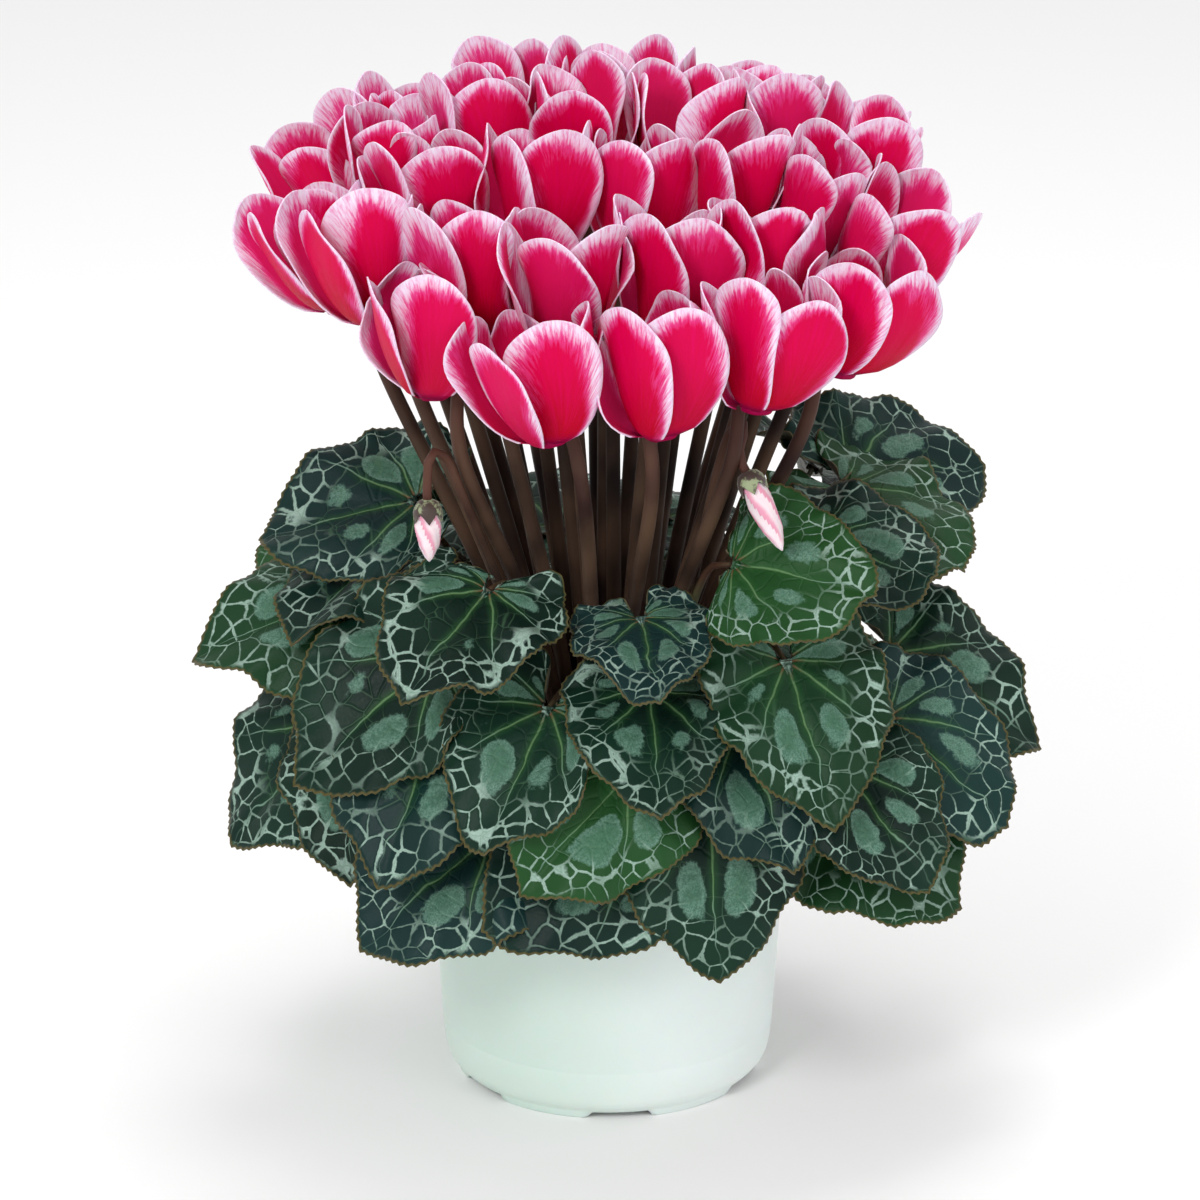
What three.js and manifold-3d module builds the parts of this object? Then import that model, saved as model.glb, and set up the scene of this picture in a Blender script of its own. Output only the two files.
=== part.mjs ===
// Potted cyclamen: a tuber half sunk in a pot of soil, with marbled leaves on long stalks and
// swept-back flowers held above them. Millimetres, +Z up, origin under the middle of the pot's base.

import * as THREE from 'three';
import { mergeVertices } from 'three/addons/utils/BufferGeometryUtils.js';
import Module from 'manifold-3d';

const wasm = await Module();
wasm.setup();

// Driving dimensions
const GAP = 0.3;

const POT_HEIGHT = 105;
const POT_RIM_RADIUS = 65;
const POT_FOOT_RADIUS = 53.5;
const POT_FOOT_HEIGHT = 3;
const POT_FLOOR = 5;
const POT_SIDES = 28;
const PAD_RADIUS = 11;
const FOOT_NOTCHES = 6;
const FOOT_NOTCH_WIDTH = 24;
const DRAIN_HOLES = 6;
const DRAIN_RADIUS = 4;
const DRAIN_CIRCLE = 34;

const SOIL_TOP = 95;
const TUBER_RADIUS = 26;
const TUBER_BASE = 72;
const TUBER_TOP = 98;

const BLADE_THICKNESS = 0.8;
const PETAL_THICKNESS = 0.8;
const PETAL_HEIGHT = 42.5;
const PETAL_HALF_WIDTH = 12.8;
const PETAL_FLARE = 0.4;
const FLARE_START = 60;
const FLARE_FULL = 100;
const NOSE_RADIUS = 6;
const NOSE_HEIGHT = 12;
const BLOOM_MIDDLE = 21;

const FLOWER_STALK_RADIUS = 2.1;
const LEAF_STALK_RADIUS = 1.6;
const BUD_STALK_RADIUS = 1.7;
const FLOWER_STALK_SIDES = 4;
const LEAF_STALK_SIDES = 4;
const STALK_BEND_HEIGHT = 170;
// Hook at the top of a flower stalk: out from the bloom's axis and up from the point of its nose.
const HOOK = [[9.2, -16], [9, 8], [7.2, 18], [2.6, 20.6], [0, 16.5], [0, NOSE_HEIGHT + GAP]];

// Flowers: the point of each nose. Those in BLOOM_GROUPS stand so close that their petals cross.
const BLOOMS = [
  [-18, -80, 257], [18, -79, 259], [49, -71, 265], [77, -48, 270], [-58, -60, 266],
  [-90, -8, 280], [-77, -33, 283], [-45, -45, 281], [-14, -48, 281], [20, -43, 279],
  [51, -37, 281], [84, -12, 283], [64, -4, 291], [-55, -2, 294], [-24, -11, 297],
  [9, -8, 296], [39, 0, 297], [78, 26, 297], [-69, 30, 296], [-40, 32, 305],
  [-8, 26, 308], [26, 28, 308], [53, 38, 304],
];
const BLOOM_GROUPS = [
  [[-26, 66, 304], [8, 64, 306]],
  [[44, 76, 296], [72, 62, 290], [26, 100, 286], [58, 104, 278]],
  [[-60, 68, 294], [-84, 56, 288]],
  [[-42, 98, 284], [-8, 100, 288]],
];

// Buds: where each hanging bud meets its calyx, where it points, and its length.
const BUDS = [
  { at: [-60, -70, 232], lean: [0.02, -0.1, -1], length: 19 },
  { at: [47, -64, 240], lean: [0.42, -0.2, -0.9], length: 27 },
];
const BUD_RADIUS = 4.6;
const BUD_SIDES = 7;

// Leaves: where the stalk meets the blade, the tip, and the blade's roll about its midrib in degrees.
const LEAVES = [
  { at: [11, -63, 189], tip: [17, -105, 182], roll: 0 },
  { at: [14, -66, 164], tip: [18, -116, 146], roll: 0 },
  { at: [60, -58, 172], tip: [78, -98, 134], roll: 0 },
  { at: [-55, -60, 152], tip: [-80, -96, 110], roll: 0 },
  { at: [-20, -70, 160], tip: [-42, -108, 126], roll: 6 },
  { at: [7, -82, 141], tip: [-27, -114, 112], roll: -8 },
  { at: [9, -74, 117], tip: [-42, -96, 90], roll: -10 },
  { at: [33, -76, 126], tip: [40, -97, 72], roll: 0 },
  { at: [-40, -68, 112], tip: [-86, -88, 82], roll: 0 },
  { at: [-58, -48, 170], tip: [-108, -70, 136], roll: 0 },
  { at: [-84, -12, 180], tip: [-144, -18, 166], roll: 0 },
  { at: [-66, 4, 208], tip: [-122, -4, 202], roll: 0 },
  { at: [-40, -64, 200], tip: [-68, -104, 182], roll: 0 },
  { at: [42, -55, 206], tip: [88, -79, 207], roll: 0 },
  { at: [70, -12, 198], tip: [114, -32, 196], roll: 0 },
  { at: [98, -8, 156], tip: [153, -16, 132], roll: 0 },
  { at: [96, -36, 143], tip: [140, -58, 116], roll: 0 },
  { at: [80, -62, 134], tip: [110, -90, 106], roll: 0 },
  { at: [76, -50, 112], tip: [124, -66, 90], roll: 0 },
  { at: [43, -66, 152], tip: [64, -98, 114], roll: 0 },
];
// Fans of three leaves whose stalks end close together, so that their blades cross: azimuth, reach
// and height of the place where the stalks end, and the middle blade's droop below level.
const FANS = [
  { azimuth: 166, reach: 64, height: 192, droop: 4 },
  { azimuth: 94, reach: 72, height: 172, droop: -10 },
  { azimuth: 24, reach: 78, height: 206, droop: 0 },
  { azimuth: 192, reach: 82, height: 136, droop: 44 },
  { azimuth: 146, reach: 80, height: 146, droop: 40 },
  { azimuth: 100, reach: 76, height: 132, droop: 40 },
  { azimuth: 54, reach: 80, height: 150, droop: 40 },
  { azimuth: 10, reach: 82, height: 122, droop: 38 },
];
const FAN_SPREAD = [-62, 0, 62];
const FAN_STEP = 14;
const FAN_BLADE = 54;
// Blades turn a little towards the light.
const LIGHT = [0, -0.9, 0];

// Half outline of a blade, from the tip to the notch, as fractions of its length along and across.
const BLADE_OUTLINE = [
  [1, 0], [0.8, 0.25], [0.42, 0.5], [-0.02, 0.55], [-0.34, 0.36], [-0.3, 0.15], [0, 0.03],
];
const BLADE_MIDDLE = 0.15;
const BLADE_RING = 0.55;

// Rows of points up a petal: how far along it, and where across it, from -1 to 1.
const PETAL_POINTS = [
  [0, -1], [0, 1], [0.42, -1], [0.42, 0], [0.42, 1], [0.84, -1], [0.84, 0], [0.84, 1], [1, 0],
];
const PETAL_FACES = [
  [0, 1, 3], [0, 3, 2], [1, 4, 3], [2, 3, 6], [2, 6, 5], [3, 4, 7], [3, 7, 6], [5, 6, 8], [6, 7, 8],
];
const PETAL_EDGE = [1, 4, 7, 8, 5, 2, 0];
const PETAL_ANGLES = [58, 119, 180, 241, 302];
const PETAL_OPEN = [0.9, 0.74, 0.72, 0.74, 0.9];
const NOSE_CORNERS = [0, 88, 149, 211, 272];

const UP = new THREE.Vector3(0, 0, 1);

const matt = (color, roughness) => new THREE.MeshStandardMaterial({ color, roughness, metalness: 0 });
const MATERIALS = {
  pot: matt(0xf4f6f1, 0.45),
  soil: matt(0x2a1f18, 0.95),
  stalk: matt(0x5c2f2a, 0.6),
  leaf: matt(0x23492f, 0.55),
  petal: matt(0xd1134a, 0.5),
  bud: matt(0xe9a9c4, 0.5),
};

const at = (place) => new THREE.Vector3(...place);
const along = (start, direction, distance) => start.clone().addScaledVector(direction, distance);
const ring = (radius, angle, z) => new THREE.Vector3(radius * Math.cos(angle), radius * Math.sin(angle), z);

// A repeatable number from 0 to 1 for each pair of seeds.
function chance(seed, index) {
  const value = Math.sin(seed * 12.9898 + index * 78.233) * 43758.5453;
  return value - Math.floor(value);
}

// Closed geometry to a solid, and back.
function solid(geometry) {
  const bare = geometry.index === null ? geometry : geometry.toNonIndexed();
  bare.deleteAttribute('normal');
  bare.deleteAttribute('uv');
  const merged = mergeVertices(bare, 1e-4);
  const mesh = new wasm.Mesh({
    numProp: 3,
    vertProperties: new Float32Array(merged.attributes.position.array),
    triVerts: new Uint32Array(merged.index.array),
  });
  return new wasm.Manifold(mesh);
}

function geometryOf(manifold) {
  const mesh = manifold.getMesh();
  const geometry = new THREE.BufferGeometry();
  geometry.setAttribute('position', new THREE.BufferAttribute(new Float32Array(mesh.vertProperties), 3));
  geometry.setIndex(new THREE.BufferAttribute(new Uint32Array(mesh.triVerts), 1));
  geometry.computeVertexNormals();
  return geometry;
}

// Joins solids, and keeps the outer skin only, so that no hollow is left sealed inside.
function fuse(solids) {
  let whole = solids[0];
  for (const next of solids.slice(1)) {
    whole = whole.add(next);
  }
  const bodies = whole.decompose();
  return bodies.reduce((best, body) => (body.volume() > best.volume() ? body : best));
}

// The two faces of a thin sheet of even thickness, split alike, and its edge from point to point.
function skin(points, faces, edge, thickness) {
  const normals = points.map(() => new THREE.Vector3());
  for (const [a, b, c] of faces) {
    const ab = points[b].clone().sub(points[a]);
    const ac = points[c].clone().sub(points[a]);
    const normal = ab.cross(ac);
    for (const corner of [a, b, c]) {
      normals[corner].add(normal);
    }
  }
  const upper = points.map((point, i) => along(point, normals[i].normalize(), thickness / 2));
  const lower = points.map((point, i) => along(point, normals[i], -thickness / 2));
  const triangles = [];
  for (const [a, b, c] of faces) {
    triangles.push([upper[a], upper[b], upper[c]], [lower[a], lower[c], lower[b]]);
  }
  edge.slice(1).forEach((to, i) => {
    const from = edge[i];
    triangles.push([upper[from], lower[from], lower[to]], [upper[from], lower[to], upper[to]]);
  });
  return { upper, lower, triangles };
}

function fromTriangles(triangles) {
  return solid(new THREE.BufferGeometry().setFromPoints(triangles.flat()));
}

// A curve whose even steps fall on its own points.
class KnotCurve extends THREE.CatmullRomCurve3 {
  getUtoTmapping(u) {
    return u;
  }
}

// A stalk through the points, widened at its last one where it ends in a calyx.
function rod(points, radius, sides, flare) {
  const corners = Array.from({ length: sides }, (_, i) => {
    const angle = (2 * Math.PI * i) / sides;
    return new THREE.Vector2(radius * Math.cos(angle), radius * Math.sin(angle));
  });
  const section = new THREE.Shape(corners);
  const path = new KnotCurve(points);
  const geometry = new THREE.ExtrudeGeometry(section, { steps: points.length - 1, extrudePath: path });
  const end = points[points.length - 1];
  const places = geometry.attributes.position;
  for (let i = 0; i < places.count; i += 1) {
    const out = new THREE.Vector3().fromBufferAttribute(places, i).sub(end);
    if (out.length() < 1.01 * radius) {
      places.setXYZ(i, ...along(end, out, flare).toArray());
    }
  }
  return solid(geometry);
}

function lathe(profile, sides) {
  const geometry = new THREE.LatheGeometry(profile.map(([r, z]) => new THREE.Vector2(r, z)), sides);
  return geometry.rotateX(Math.PI / 2);
}

// Directions spread evenly over a half ball, tried as the normal of a parting plane.
const TRIED = 60;
const DIRECTIONS = Array.from({ length: TRIED }, (_, i) => {
  const z = (i + 0.5) / TRIED;
  return ring(Math.sqrt(1 - z * z), i * Math.PI * (3 - Math.sqrt(5)), z);
});

// The level that two sets of heights part at with the least bending.
const HALVINGS = 14;
function partingLevel(below, above) {
  let low = Math.min(...above);
  let high = Math.max(...below);
  if (high <= low) {
    return { level: (low + high) / 2, cost: 0 };
  }
  for (let step = 0; step < HALVINGS; step += 1) {
    const level = (low + high) / 2;
    let slope = 0;
    below.forEach((height) => { slope -= Math.max(0, height - level); });
    above.forEach((height) => { slope += Math.max(0, level - height); });
    if (slope > 0) {
      high = level;
    } else {
      low = level;
    }
  }
  const level = (low + high) / 2;
  let cost = 0;
  below.forEach((height) => { cost += Math.max(0, height - level) ** 2; });
  above.forEach((height) => { cost += Math.max(0, level - height) ** 2; });
  return { level, cost };
}

// The plane that keeps one set of points clear of another; stiff points don't give way.
function partingPlane(points, others, margin, stiff) {
  let best = null;
  for (const direction of DIRECTIONS) {
    const here = points.map((point) => point.dot(direction));
    const there = others.map((point) => point.dot(direction));
    for (const side of [1, -1]) {
      const below = here.map((height) => height * side);
      const above = there.map((height) => height * side);
      let found = null;
      if (stiff) {
        const level = Math.min(...above);
        const cost = below.reduce((sum, height) => sum + Math.max(0, height + margin - level) ** 2, 0);
        found = { level, cost };
      } else {
        found = partingLevel(below, above);
      }
      if (best === null || found.cost < best.cost) {
        best = { cost: found.cost, normal: direction.clone().multiplyScalar(side), level: found.level };
      }
    }
  }
  return { normal: best.normal, level: best.level - margin };
}

// The same plane as the other side sees it.
function farSide({ normal, level }, margin) {
  return { normal: normal.clone().negate(), level: -level - 2 * margin };
}

// Moves points back behind every plane.
const BEND_STEPS = 60;
function bend(points, planes) {
  for (let step = 0; step < BEND_STEPS; step += 1) {
    for (const { normal, level } of planes) {
      for (const point of points) {
        const over = point.dot(normal) - level;
        if (over > 0) {
          point.addScaledVector(normal, -over);
        }
      }
    }
  }
}

function middle(points) {
  const sum = points.reduce((total, point) => total.add(point), new THREE.Vector3());
  return sum.divideScalar(points.length);
}

function reach(points, centre) {
  return Math.max(...points.map((point) => point.distanceTo(centre)));
}

// Pot: an outer wall with a rolled rim, a floor on a foot ring, and a pad in the middle to rest on.
function pot() {
  const base = POT_FLOOR - 2;
  const profile = [
    [0, 0], [PAD_RADIUS, 0], [PAD_RADIUS + 2, base], [POT_FOOT_RADIUS - 2.4, base],
    [POT_FOOT_RADIUS - 2, 0], [POT_FOOT_RADIUS, 0], [POT_FOOT_RADIUS + 0.6, POT_FOOT_HEIGHT],
    [POT_FOOT_RADIUS + 3.6, 6.5], [POT_FOOT_RADIUS + 4.8, 14], [POT_RIM_RADIUS - 1.6, POT_HEIGHT - 9],
    [POT_RIM_RADIUS, POT_HEIGHT - 8], [POT_RIM_RADIUS, POT_HEIGHT], [POT_RIM_RADIUS - 3, POT_HEIGHT],
    [POT_FOOT_RADIUS + 3, 14], [POT_FOOT_RADIUS + 0.5, POT_FLOOR], [0, POT_FLOOR],
  ];
  let body = solid(lathe(profile, POT_SIDES));
  for (let i = 0; i < FOOT_NOTCHES; i += 1) {
    const angle = (2 * Math.PI * i) / FOOT_NOTCHES - Math.PI / 2 + 0.08;
    const notch = new THREE.Shape();
    notch.moveTo(-FOOT_NOTCH_WIDTH / 2 - 3, -1);
    notch.lineTo(FOOT_NOTCH_WIDTH / 2 + 3, -1);
    notch.lineTo(FOOT_NOTCH_WIDTH / 2 - 3, POT_FOOT_HEIGHT - 0.4);
    notch.lineTo(-FOOT_NOTCH_WIDTH / 2 + 3, POT_FOOT_HEIGHT - 0.4);
    const cutter = new THREE.ExtrudeGeometry(notch, { depth: 14, bevelEnabled: false });
    cutter.rotateX(Math.PI / 2).rotateZ(Math.PI / 2);
    cutter.translate(POT_FOOT_RADIUS - 8, 0, 0).rotateZ(angle);
    body = body.subtract(solid(cutter));
  }
  for (let i = 0; i < DRAIN_HOLES; i += 1) {
    const angle = (2 * Math.PI * (i + 0.5)) / DRAIN_HOLES;
    const drill = new THREE.CylinderGeometry(DRAIN_RADIUS, DRAIN_RADIUS, 20, 8).rotateX(Math.PI / 2);
    const centre = ring(DRAIN_CIRCLE, angle, POT_FLOOR);
    body = body.subtract(solid(drill.translate(centre.x, centre.y, centre.z)));
  }
  return body;
}

// Soil: fills the pot, with a plain pocket for the tuber.
function soil() {
  const pocket = TUBER_RADIUS + GAP;
  const lowest = POT_FLOOR + GAP;
  const foot = POT_FOOT_RADIUS + 0.5 - 2 * GAP;
  const shoulder = POT_FOOT_RADIUS + 3 - 2 * GAP;
  const topRadius = POT_RIM_RADIUS - 3.9 - 2 * GAP;
  return solid(lathe([
    [0, lowest], [foot, lowest], [shoulder, 14], [topRadius, SOIL_TOP - 1],
    [(topRadius + pocket) / 2, SOIL_TOP + 0.6], [pocket, SOIL_TOP - 0.5], [pocket, TUBER_BASE + 5],
    [pocket - 6, TUBER_BASE - GAP], [0, TUBER_BASE - GAP],
  ], POT_SIDES));
}

function tuber() {
  return solid(lathe([
    [0, TUBER_BASE], [TUBER_RADIUS - 6, TUBER_BASE], [TUBER_RADIUS, TUBER_BASE + 5],
    [TUBER_RADIUS, SOIL_TOP - 2], [TUBER_RADIUS - 2.5, TUBER_TOP - 1], [0, TUBER_TOP],
  ], 20));
}

// Blade: a centre point, a ring part way out where it is a large one, and the outline.
const BLADE_COUNT = 2 * BLADE_OUTLINE.length - 1;
function bladeFaces(large) {
  const outer = large ? 1 + BLADE_COUNT : 1;
  const faces = [];
  const edge = [];
  for (let k = 0; k < BLADE_COUNT; k += 1) {
    const next = (k + 1) % BLADE_COUNT;
    faces.push([0, 1 + k, 1 + next]);
    if (large) {
      faces.push([1 + k, outer + k, outer + next], [1 + k, outer + next, 1 + next]);
    }
    edge.push(outer + k);
  }
  edge.push(outer);
  return { faces, edge };
}

// Height of the blade's surface above its own flat plane, in lengths.
function bladeRise(x, y, seed) {
  const out = Math.hypot(x - BLADE_MIDDLE, y);
  const turn = Math.atan2(y, x - BLADE_MIDDLE);
  const wave = 0.035 * Math.sin(5 * turn + 6.3 * seed) * Math.min(1, 2 * out) ** 2;
  const lengthwise = -0.2 * Math.max(0, x) ** 2 + 0.16 * Math.max(0, -x);
  return lengthwise + 0.26 * Math.abs(y) - 0.42 * y * y + wave;
}

function leafFrame(leaf) {
  const start = at(leaf.at);
  const forward = at(leaf.tip).sub(start);
  const length = forward.length();
  forward.normalize();
  const outward = along(start, forward, length / 2).setZ(0).normalize();
  const normal = outward.multiplyScalar(0.9).add(at(LIGHT)).add(UP);
  normal.addScaledVector(forward, -normal.dot(forward)).normalize();
  normal.applyAxisAngle(forward, THREE.MathUtils.degToRad(leaf.roll));
  return { start, forward, normal, across: normal.clone().cross(forward), length };
}

function bladePoints(leaf, seed, large) {
  const { start, forward, normal, across, length } = leafFrame(leaf);
  const place = (x, y) => {
    const point = along(start, forward, x * length);
    point.addScaledVector(across, y * length);
    return point.addScaledVector(normal, bladeRise(x, y, seed) * length);
  };
  const mirrored = BLADE_OUTLINE.slice(1).reverse().map(([x, y]) => [x, -y]);
  const outline = [...BLADE_OUTLINE, ...mirrored];
  const points = [place(BLADE_MIDDLE, 0)];
  if (large) {
    const inner = (x) => BLADE_MIDDLE + (x - BLADE_MIDDLE) * BLADE_RING;
    points.push(...outline.map(([x, y]) => place(inner(x), y * BLADE_RING)));
  }
  points.push(...outline.map(([x, y]) => place(x, y)));
  return points;
}

// The leaves of one fan; the outer two droop more than the middle one, which its stalk ends at.
function fan({ azimuth, reach: radius, height, droop }, seed) {
  return FAN_SPREAD.map((spread, k) => {
    const heading = THREE.MathUtils.degToRad(azimuth + spread);
    const dip = THREE.MathUtils.degToRad(droop + (spread === 0 ? 0 : 9) + 8 * (chance(seed + 50, k) - 0.5));
    const length = FAN_BLADE * (0.92 + 0.16 * chance(seed + 60, k));
    const start = ring(radius, THREE.MathUtils.degToRad(azimuth), height).add(ring(FAN_STEP, heading, 0));
    const tip = start.clone().add(ring(length * Math.cos(dip), heading, -length * Math.sin(dip)));
    return { at: start.toArray(), tip: tip.toArray(), roll: 0, leading: spread === 0 };
  });
}

// Where a settled blade's notch is, between its two notch corners.
function notch(points) {
  const corner = points.length - BLADE_OUTLINE.length;
  return points[corner].clone().add(points[corner + 1]).divideScalar(2);
}

function leafStalk(leaf, points) {
  const { forward, normal } = leafFrame(leaf);
  const end = leaf.leading ? along(points[0], normal, -BLADE_THICKNESS / 2) : notch(points);
  const [behind, below] = leaf.leading ? [5, 13] : [12, 8];
  const back = forward.clone().multiplyScalar(-behind).addScaledVector(normal, -below);
  const azimuth = Math.atan2(leaf.at[1], leaf.at[0]);
  const root = TUBER_RADIUS - 2.5 - 0.065 * (leaf.at[2] - SOIL_TOP - 15);
  const approach = end.clone().add(back);
  const foot = ring(root, azimuth, TUBER_TOP - 5);
  const rise = ring(root + 4, azimuth, TUBER_TOP + 14);
  const bow = rise.clone().lerp(approach, 0.5).addScaledVector(UP, 0.06 * rise.distanceTo(approach));
  return [foot, rise, bow, approach, along(end, back.normalize(), 3 * GAP)];
}

// Bloom: its axis leans outward, less so at the front, and its stalk comes up on its inner side.
const LEAN_OUT = 0.0028;
const LEAN_FORTH = 0.0006;
const LEAN_CHANCE = 0.36;
function bloomFrame(nose, seed) {
  const outward = new THREE.Vector3(nose.x, nose.y, 0);
  const forth = nose.y < 0 ? LEAN_FORTH : LEAN_OUT;
  const aside = LEAN_CHANCE * (chance(seed, 2) - 0.5);
  const ahead = LEAN_CHANCE * (chance(seed, 17) - 0.5);
  const axis = new THREE.Vector3(LEAN_OUT * nose.x + aside, forth * nose.y + ahead, 1).normalize();
  const turn = (chance(seed, 1) - 0.5) * 1.4;
  const inward = outward.length() > 1 ? outward.multiplyScalar(-1) : new THREE.Vector3(1, 0, 0);
  inward.addScaledVector(axis, -inward.dot(axis)).normalize().applyAxisAngle(axis, turn);
  return { nose, axis, toStalk: inward, side: axis.clone().cross(inward) };
}

function inBloom(frame, x, y, z) {
  const point = along(frame.nose, frame.toStalk, x);
  return point.addScaledVector(frame.side, y).addScaledVector(frame.axis, z);
}

function petalHalfWidth(s) {
  const offset = s < 0.64 ? (0.64 - s) / 0.66 : (s - 0.64) / 0.36;
  return PETAL_HALF_WIDTH * Math.max(0, 1 - offset ** 2.2) ** 0.55;
}

function petalPoint(frame, angle, s, u, open, tall) {
  const width = petalHalfWidth(s) * u;
  const radius = 5 + 16.5 * open * Math.sin((Math.PI / 2) * s ** 0.7);
  const out = radius - (0.3 * width * width) / radius + 0.2 * width;
  const height = 2 + tall * s ** 1.15;
  const cos = Math.cos(angle);
  const sin = Math.sin(angle);
  return inBloom(frame, out * cos - width * sin, out * sin + width * cos, height);
}

// Draws a petal's point in towards the bloom's axis until it is behind every plane.
function drawIn(point, frame, planes) {
  const rise = point.clone().sub(frame.nose).dot(frame.axis);
  const centre = along(frame.nose, frame.axis, rise);
  for (const { normal, level } of planes) {
    if (point.dot(normal) > level) {
      const room = level - centre.dot(normal);
      const out = point.clone().sub(centre);
      point.copy(along(centre, out, Math.max(0.3, room / out.dot(normal))));
    }
  }
}

// Petals on the outside of the plant open widest.
function petals(frame, seed) {
  const far = Math.hypot(frame.nose.x, frame.nose.y);
  const flare = PETAL_FLARE * THREE.MathUtils.smoothstep(far, FLARE_START, FLARE_FULL);
  return PETAL_ANGLES.map((angle, k) => {
    const turned = THREE.MathUtils.degToRad(angle + 4 * (chance(seed, 33 + k) - 0.5));
    const open = PETAL_OPEN[k] + 0.24 * chance(seed, 10 + k) + flare * Math.max(0, -Math.cos(turned));
    const tall = PETAL_HEIGHT * (0.9 + 0.16 * chance(seed, 20 + k)) * (1.3 - 0.3 * open);
    return PETAL_POINTS.map(([s, u]) => petalPoint(frame, turned, s, u, open, tall));
  });
}

// Throat: a five-sided tube, each side of it opening into the root of a petal.
function bloomSolid(frame, petalSet) {
  const corners = (radius, height) => NOSE_CORNERS.map((angle) => {
    const turned = THREE.MathUtils.degToRad(angle);
    return inBloom(frame, radius * Math.cos(turned), radius * Math.sin(turned), height);
  });
  const low = corners(NOSE_RADIUS, 0);
  const high = corners(NOSE_RADIUS - 1, NOSE_HEIGHT);
  const triangles = [];
  for (let k = 1; k < 4; k += 1) {
    triangles.push([low[0], low[k + 1], low[k]], [high[0], high[k], high[k + 1]]);
  }
  petalSet.forEach((points, k) => {
    const next = (k + 1) % petalSet.length;
    const petal = skin(points, PETAL_FACES, PETAL_EDGE, PETAL_THICKNESS);
    const side = [low[k], low[next], high[next], high[k]];
    const root = [petal.upper[0], petal.upper[1], petal.lower[1], petal.lower[0]];
    side.forEach((corner, i) => {
      const j = (i + 1) % side.length;
      triangles.push([corner, side[j], root[j]], [corner, root[j], root[i]]);
    });
    triangles.push(...petal.triangles);
  });
  return fromTriangles(triangles);
}

// Flower stalk: up from the tuber, past the nose, over in a hook and down to the calyx.
function flowerStalk(frame) {
  const { nose } = frame;
  const azimuth = Math.atan2(nose.y, nose.x);
  const far = Math.hypot(nose.x, nose.y);
  const foot = ring(0.14 * far + 1, azimuth, TUBER_TOP - 6);
  const hook = HOOK.map(([x, z]) => inBloom(frame, x, 0, z));
  const low = foot.clone().lerp(hook[0], 0.36).setZ(STALK_BEND_HEIGHT);
  return [foot, low, ...hook];
}

// Bud: a closed spindle, and its own thin stalk that hooks over to hold it.
function bud({ at: place, lean, length }) {
  const profile = [
    [0, 0], [BUD_RADIUS * 0.7, 0], [BUD_RADIUS, length * 0.36], [BUD_RADIUS * 0.75, length * 0.72],
    [0, length],
  ];
  const body = lathe(profile, BUD_SIDES);
  const turn = new THREE.Quaternion().setFromUnitVectors(UP, at(lean).normalize());
  return solid(body.applyQuaternion(turn).translate(...place));
}

function budStalk({ at: place, lean }) {
  const end = at(place);
  const back = at(lean).normalize().negate();
  const azimuth = Math.atan2(end.y, end.x);
  const inward = ring(-1, azimuth, 0);
  const foot = ring(15, azimuth + 0.12, TUBER_TOP - 6);
  const low = foot.clone().lerp(end, 0.4).setZ(STALK_BEND_HEIGHT);
  const rise = along(end, inward, 15).addScaledVector(UP, 4);
  const arch = along(end, inward, 9).addScaledVector(UP, 15);
  const top = along(end, inward, 2).addScaledVector(UP, 17).addScaledVector(back, 1);
  return [foot, low, rise, arch, top, along(end, back, 8), along(end, back, GAP)];
}

// Points every few millimetres along a stalk, to keep blades and petals clear of it.
function trace(points) {
  const path = new THREE.CatmullRomCurve3(points);
  return path.getSpacedPoints(Math.ceil(path.getLength() / 4));
}

const plant = new THREE.Group();

function add(name, manifold, material) {
  const mesh = new THREE.Mesh(geometryOf(manifold), material);
  mesh.name = name;
  plant.add(mesh);
}

const numbered = (stem, i) => `${stem}_${String(i + 1).padStart(2, '0')}`;

// Blooms, each in a cell of its own between its neighbours.
const bloomNodes = [...BLOOMS.map((nose) => [nose]), ...BLOOM_GROUPS];
const bloomNode = bloomNodes.flatMap((group, node) => group.map(() => node));
const frames = bloomNodes.flat().map((nose, i) => bloomFrame(at(nose), i));
const flowerStalks = frames.map(flowerStalk);
const budStalks = BUDS.map(budStalk);
const flowerTraces = [...flowerStalks, ...budStalks].map(trace);
const petalSets = frames.map(petals);

const PETAL_MARGIN = (PETAL_THICKNESS + GAP) / 2;
const PETAL_CLEARANCE = FLOWER_STALK_RADIUS + 0.6;
const BLOOM_REACH = 34;
function bloomCell(i) {
  const centre = along(frames[i].nose, frames[i].axis, BLOOM_MIDDLE);
  const planes = [];
  frames.forEach((other, j) => {
    const away = along(other.nose, other.axis, BLOOM_MIDDLE).sub(centre);
    const distance = away.length();
    if (bloomNode[i] !== bloomNode[j] && distance < 2 * BLOOM_REACH) {
      away.normalize();
      planes.push({ normal: away, level: centre.dot(away) + distance / 2 - PETAL_MARGIN });
    }
  });
  flowerTraces.forEach((stalk, j) => {
    const near = stalk.filter((point) => point.distanceTo(centre) < BLOOM_REACH);
    if (i !== j && near.length > 0) {
      planes.push(partingPlane(petalSets[i].flat(), near, PETAL_CLEARANCE, true));
    }
  });
  return planes;
}

frames.forEach((frame, i) => {
  const cell = bloomCell(i);
  const petalSet = petalSets[i];
  petalSet.flat().forEach((point) => drawIn(point, frame, cell));
  const planes = petalSet.map(() => [...cell]);
  petalSet.forEach((points, k) => {
    const next = (k + 1) % petalSet.length;
    const plane = partingPlane(points, petalSet[next], PETAL_MARGIN, false);
    planes[k].push(plane);
    planes[next].push(farSide(plane, PETAL_MARGIN));
  });
  petalSet.forEach((points, k) => bend(points, planes[k]));
});

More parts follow.
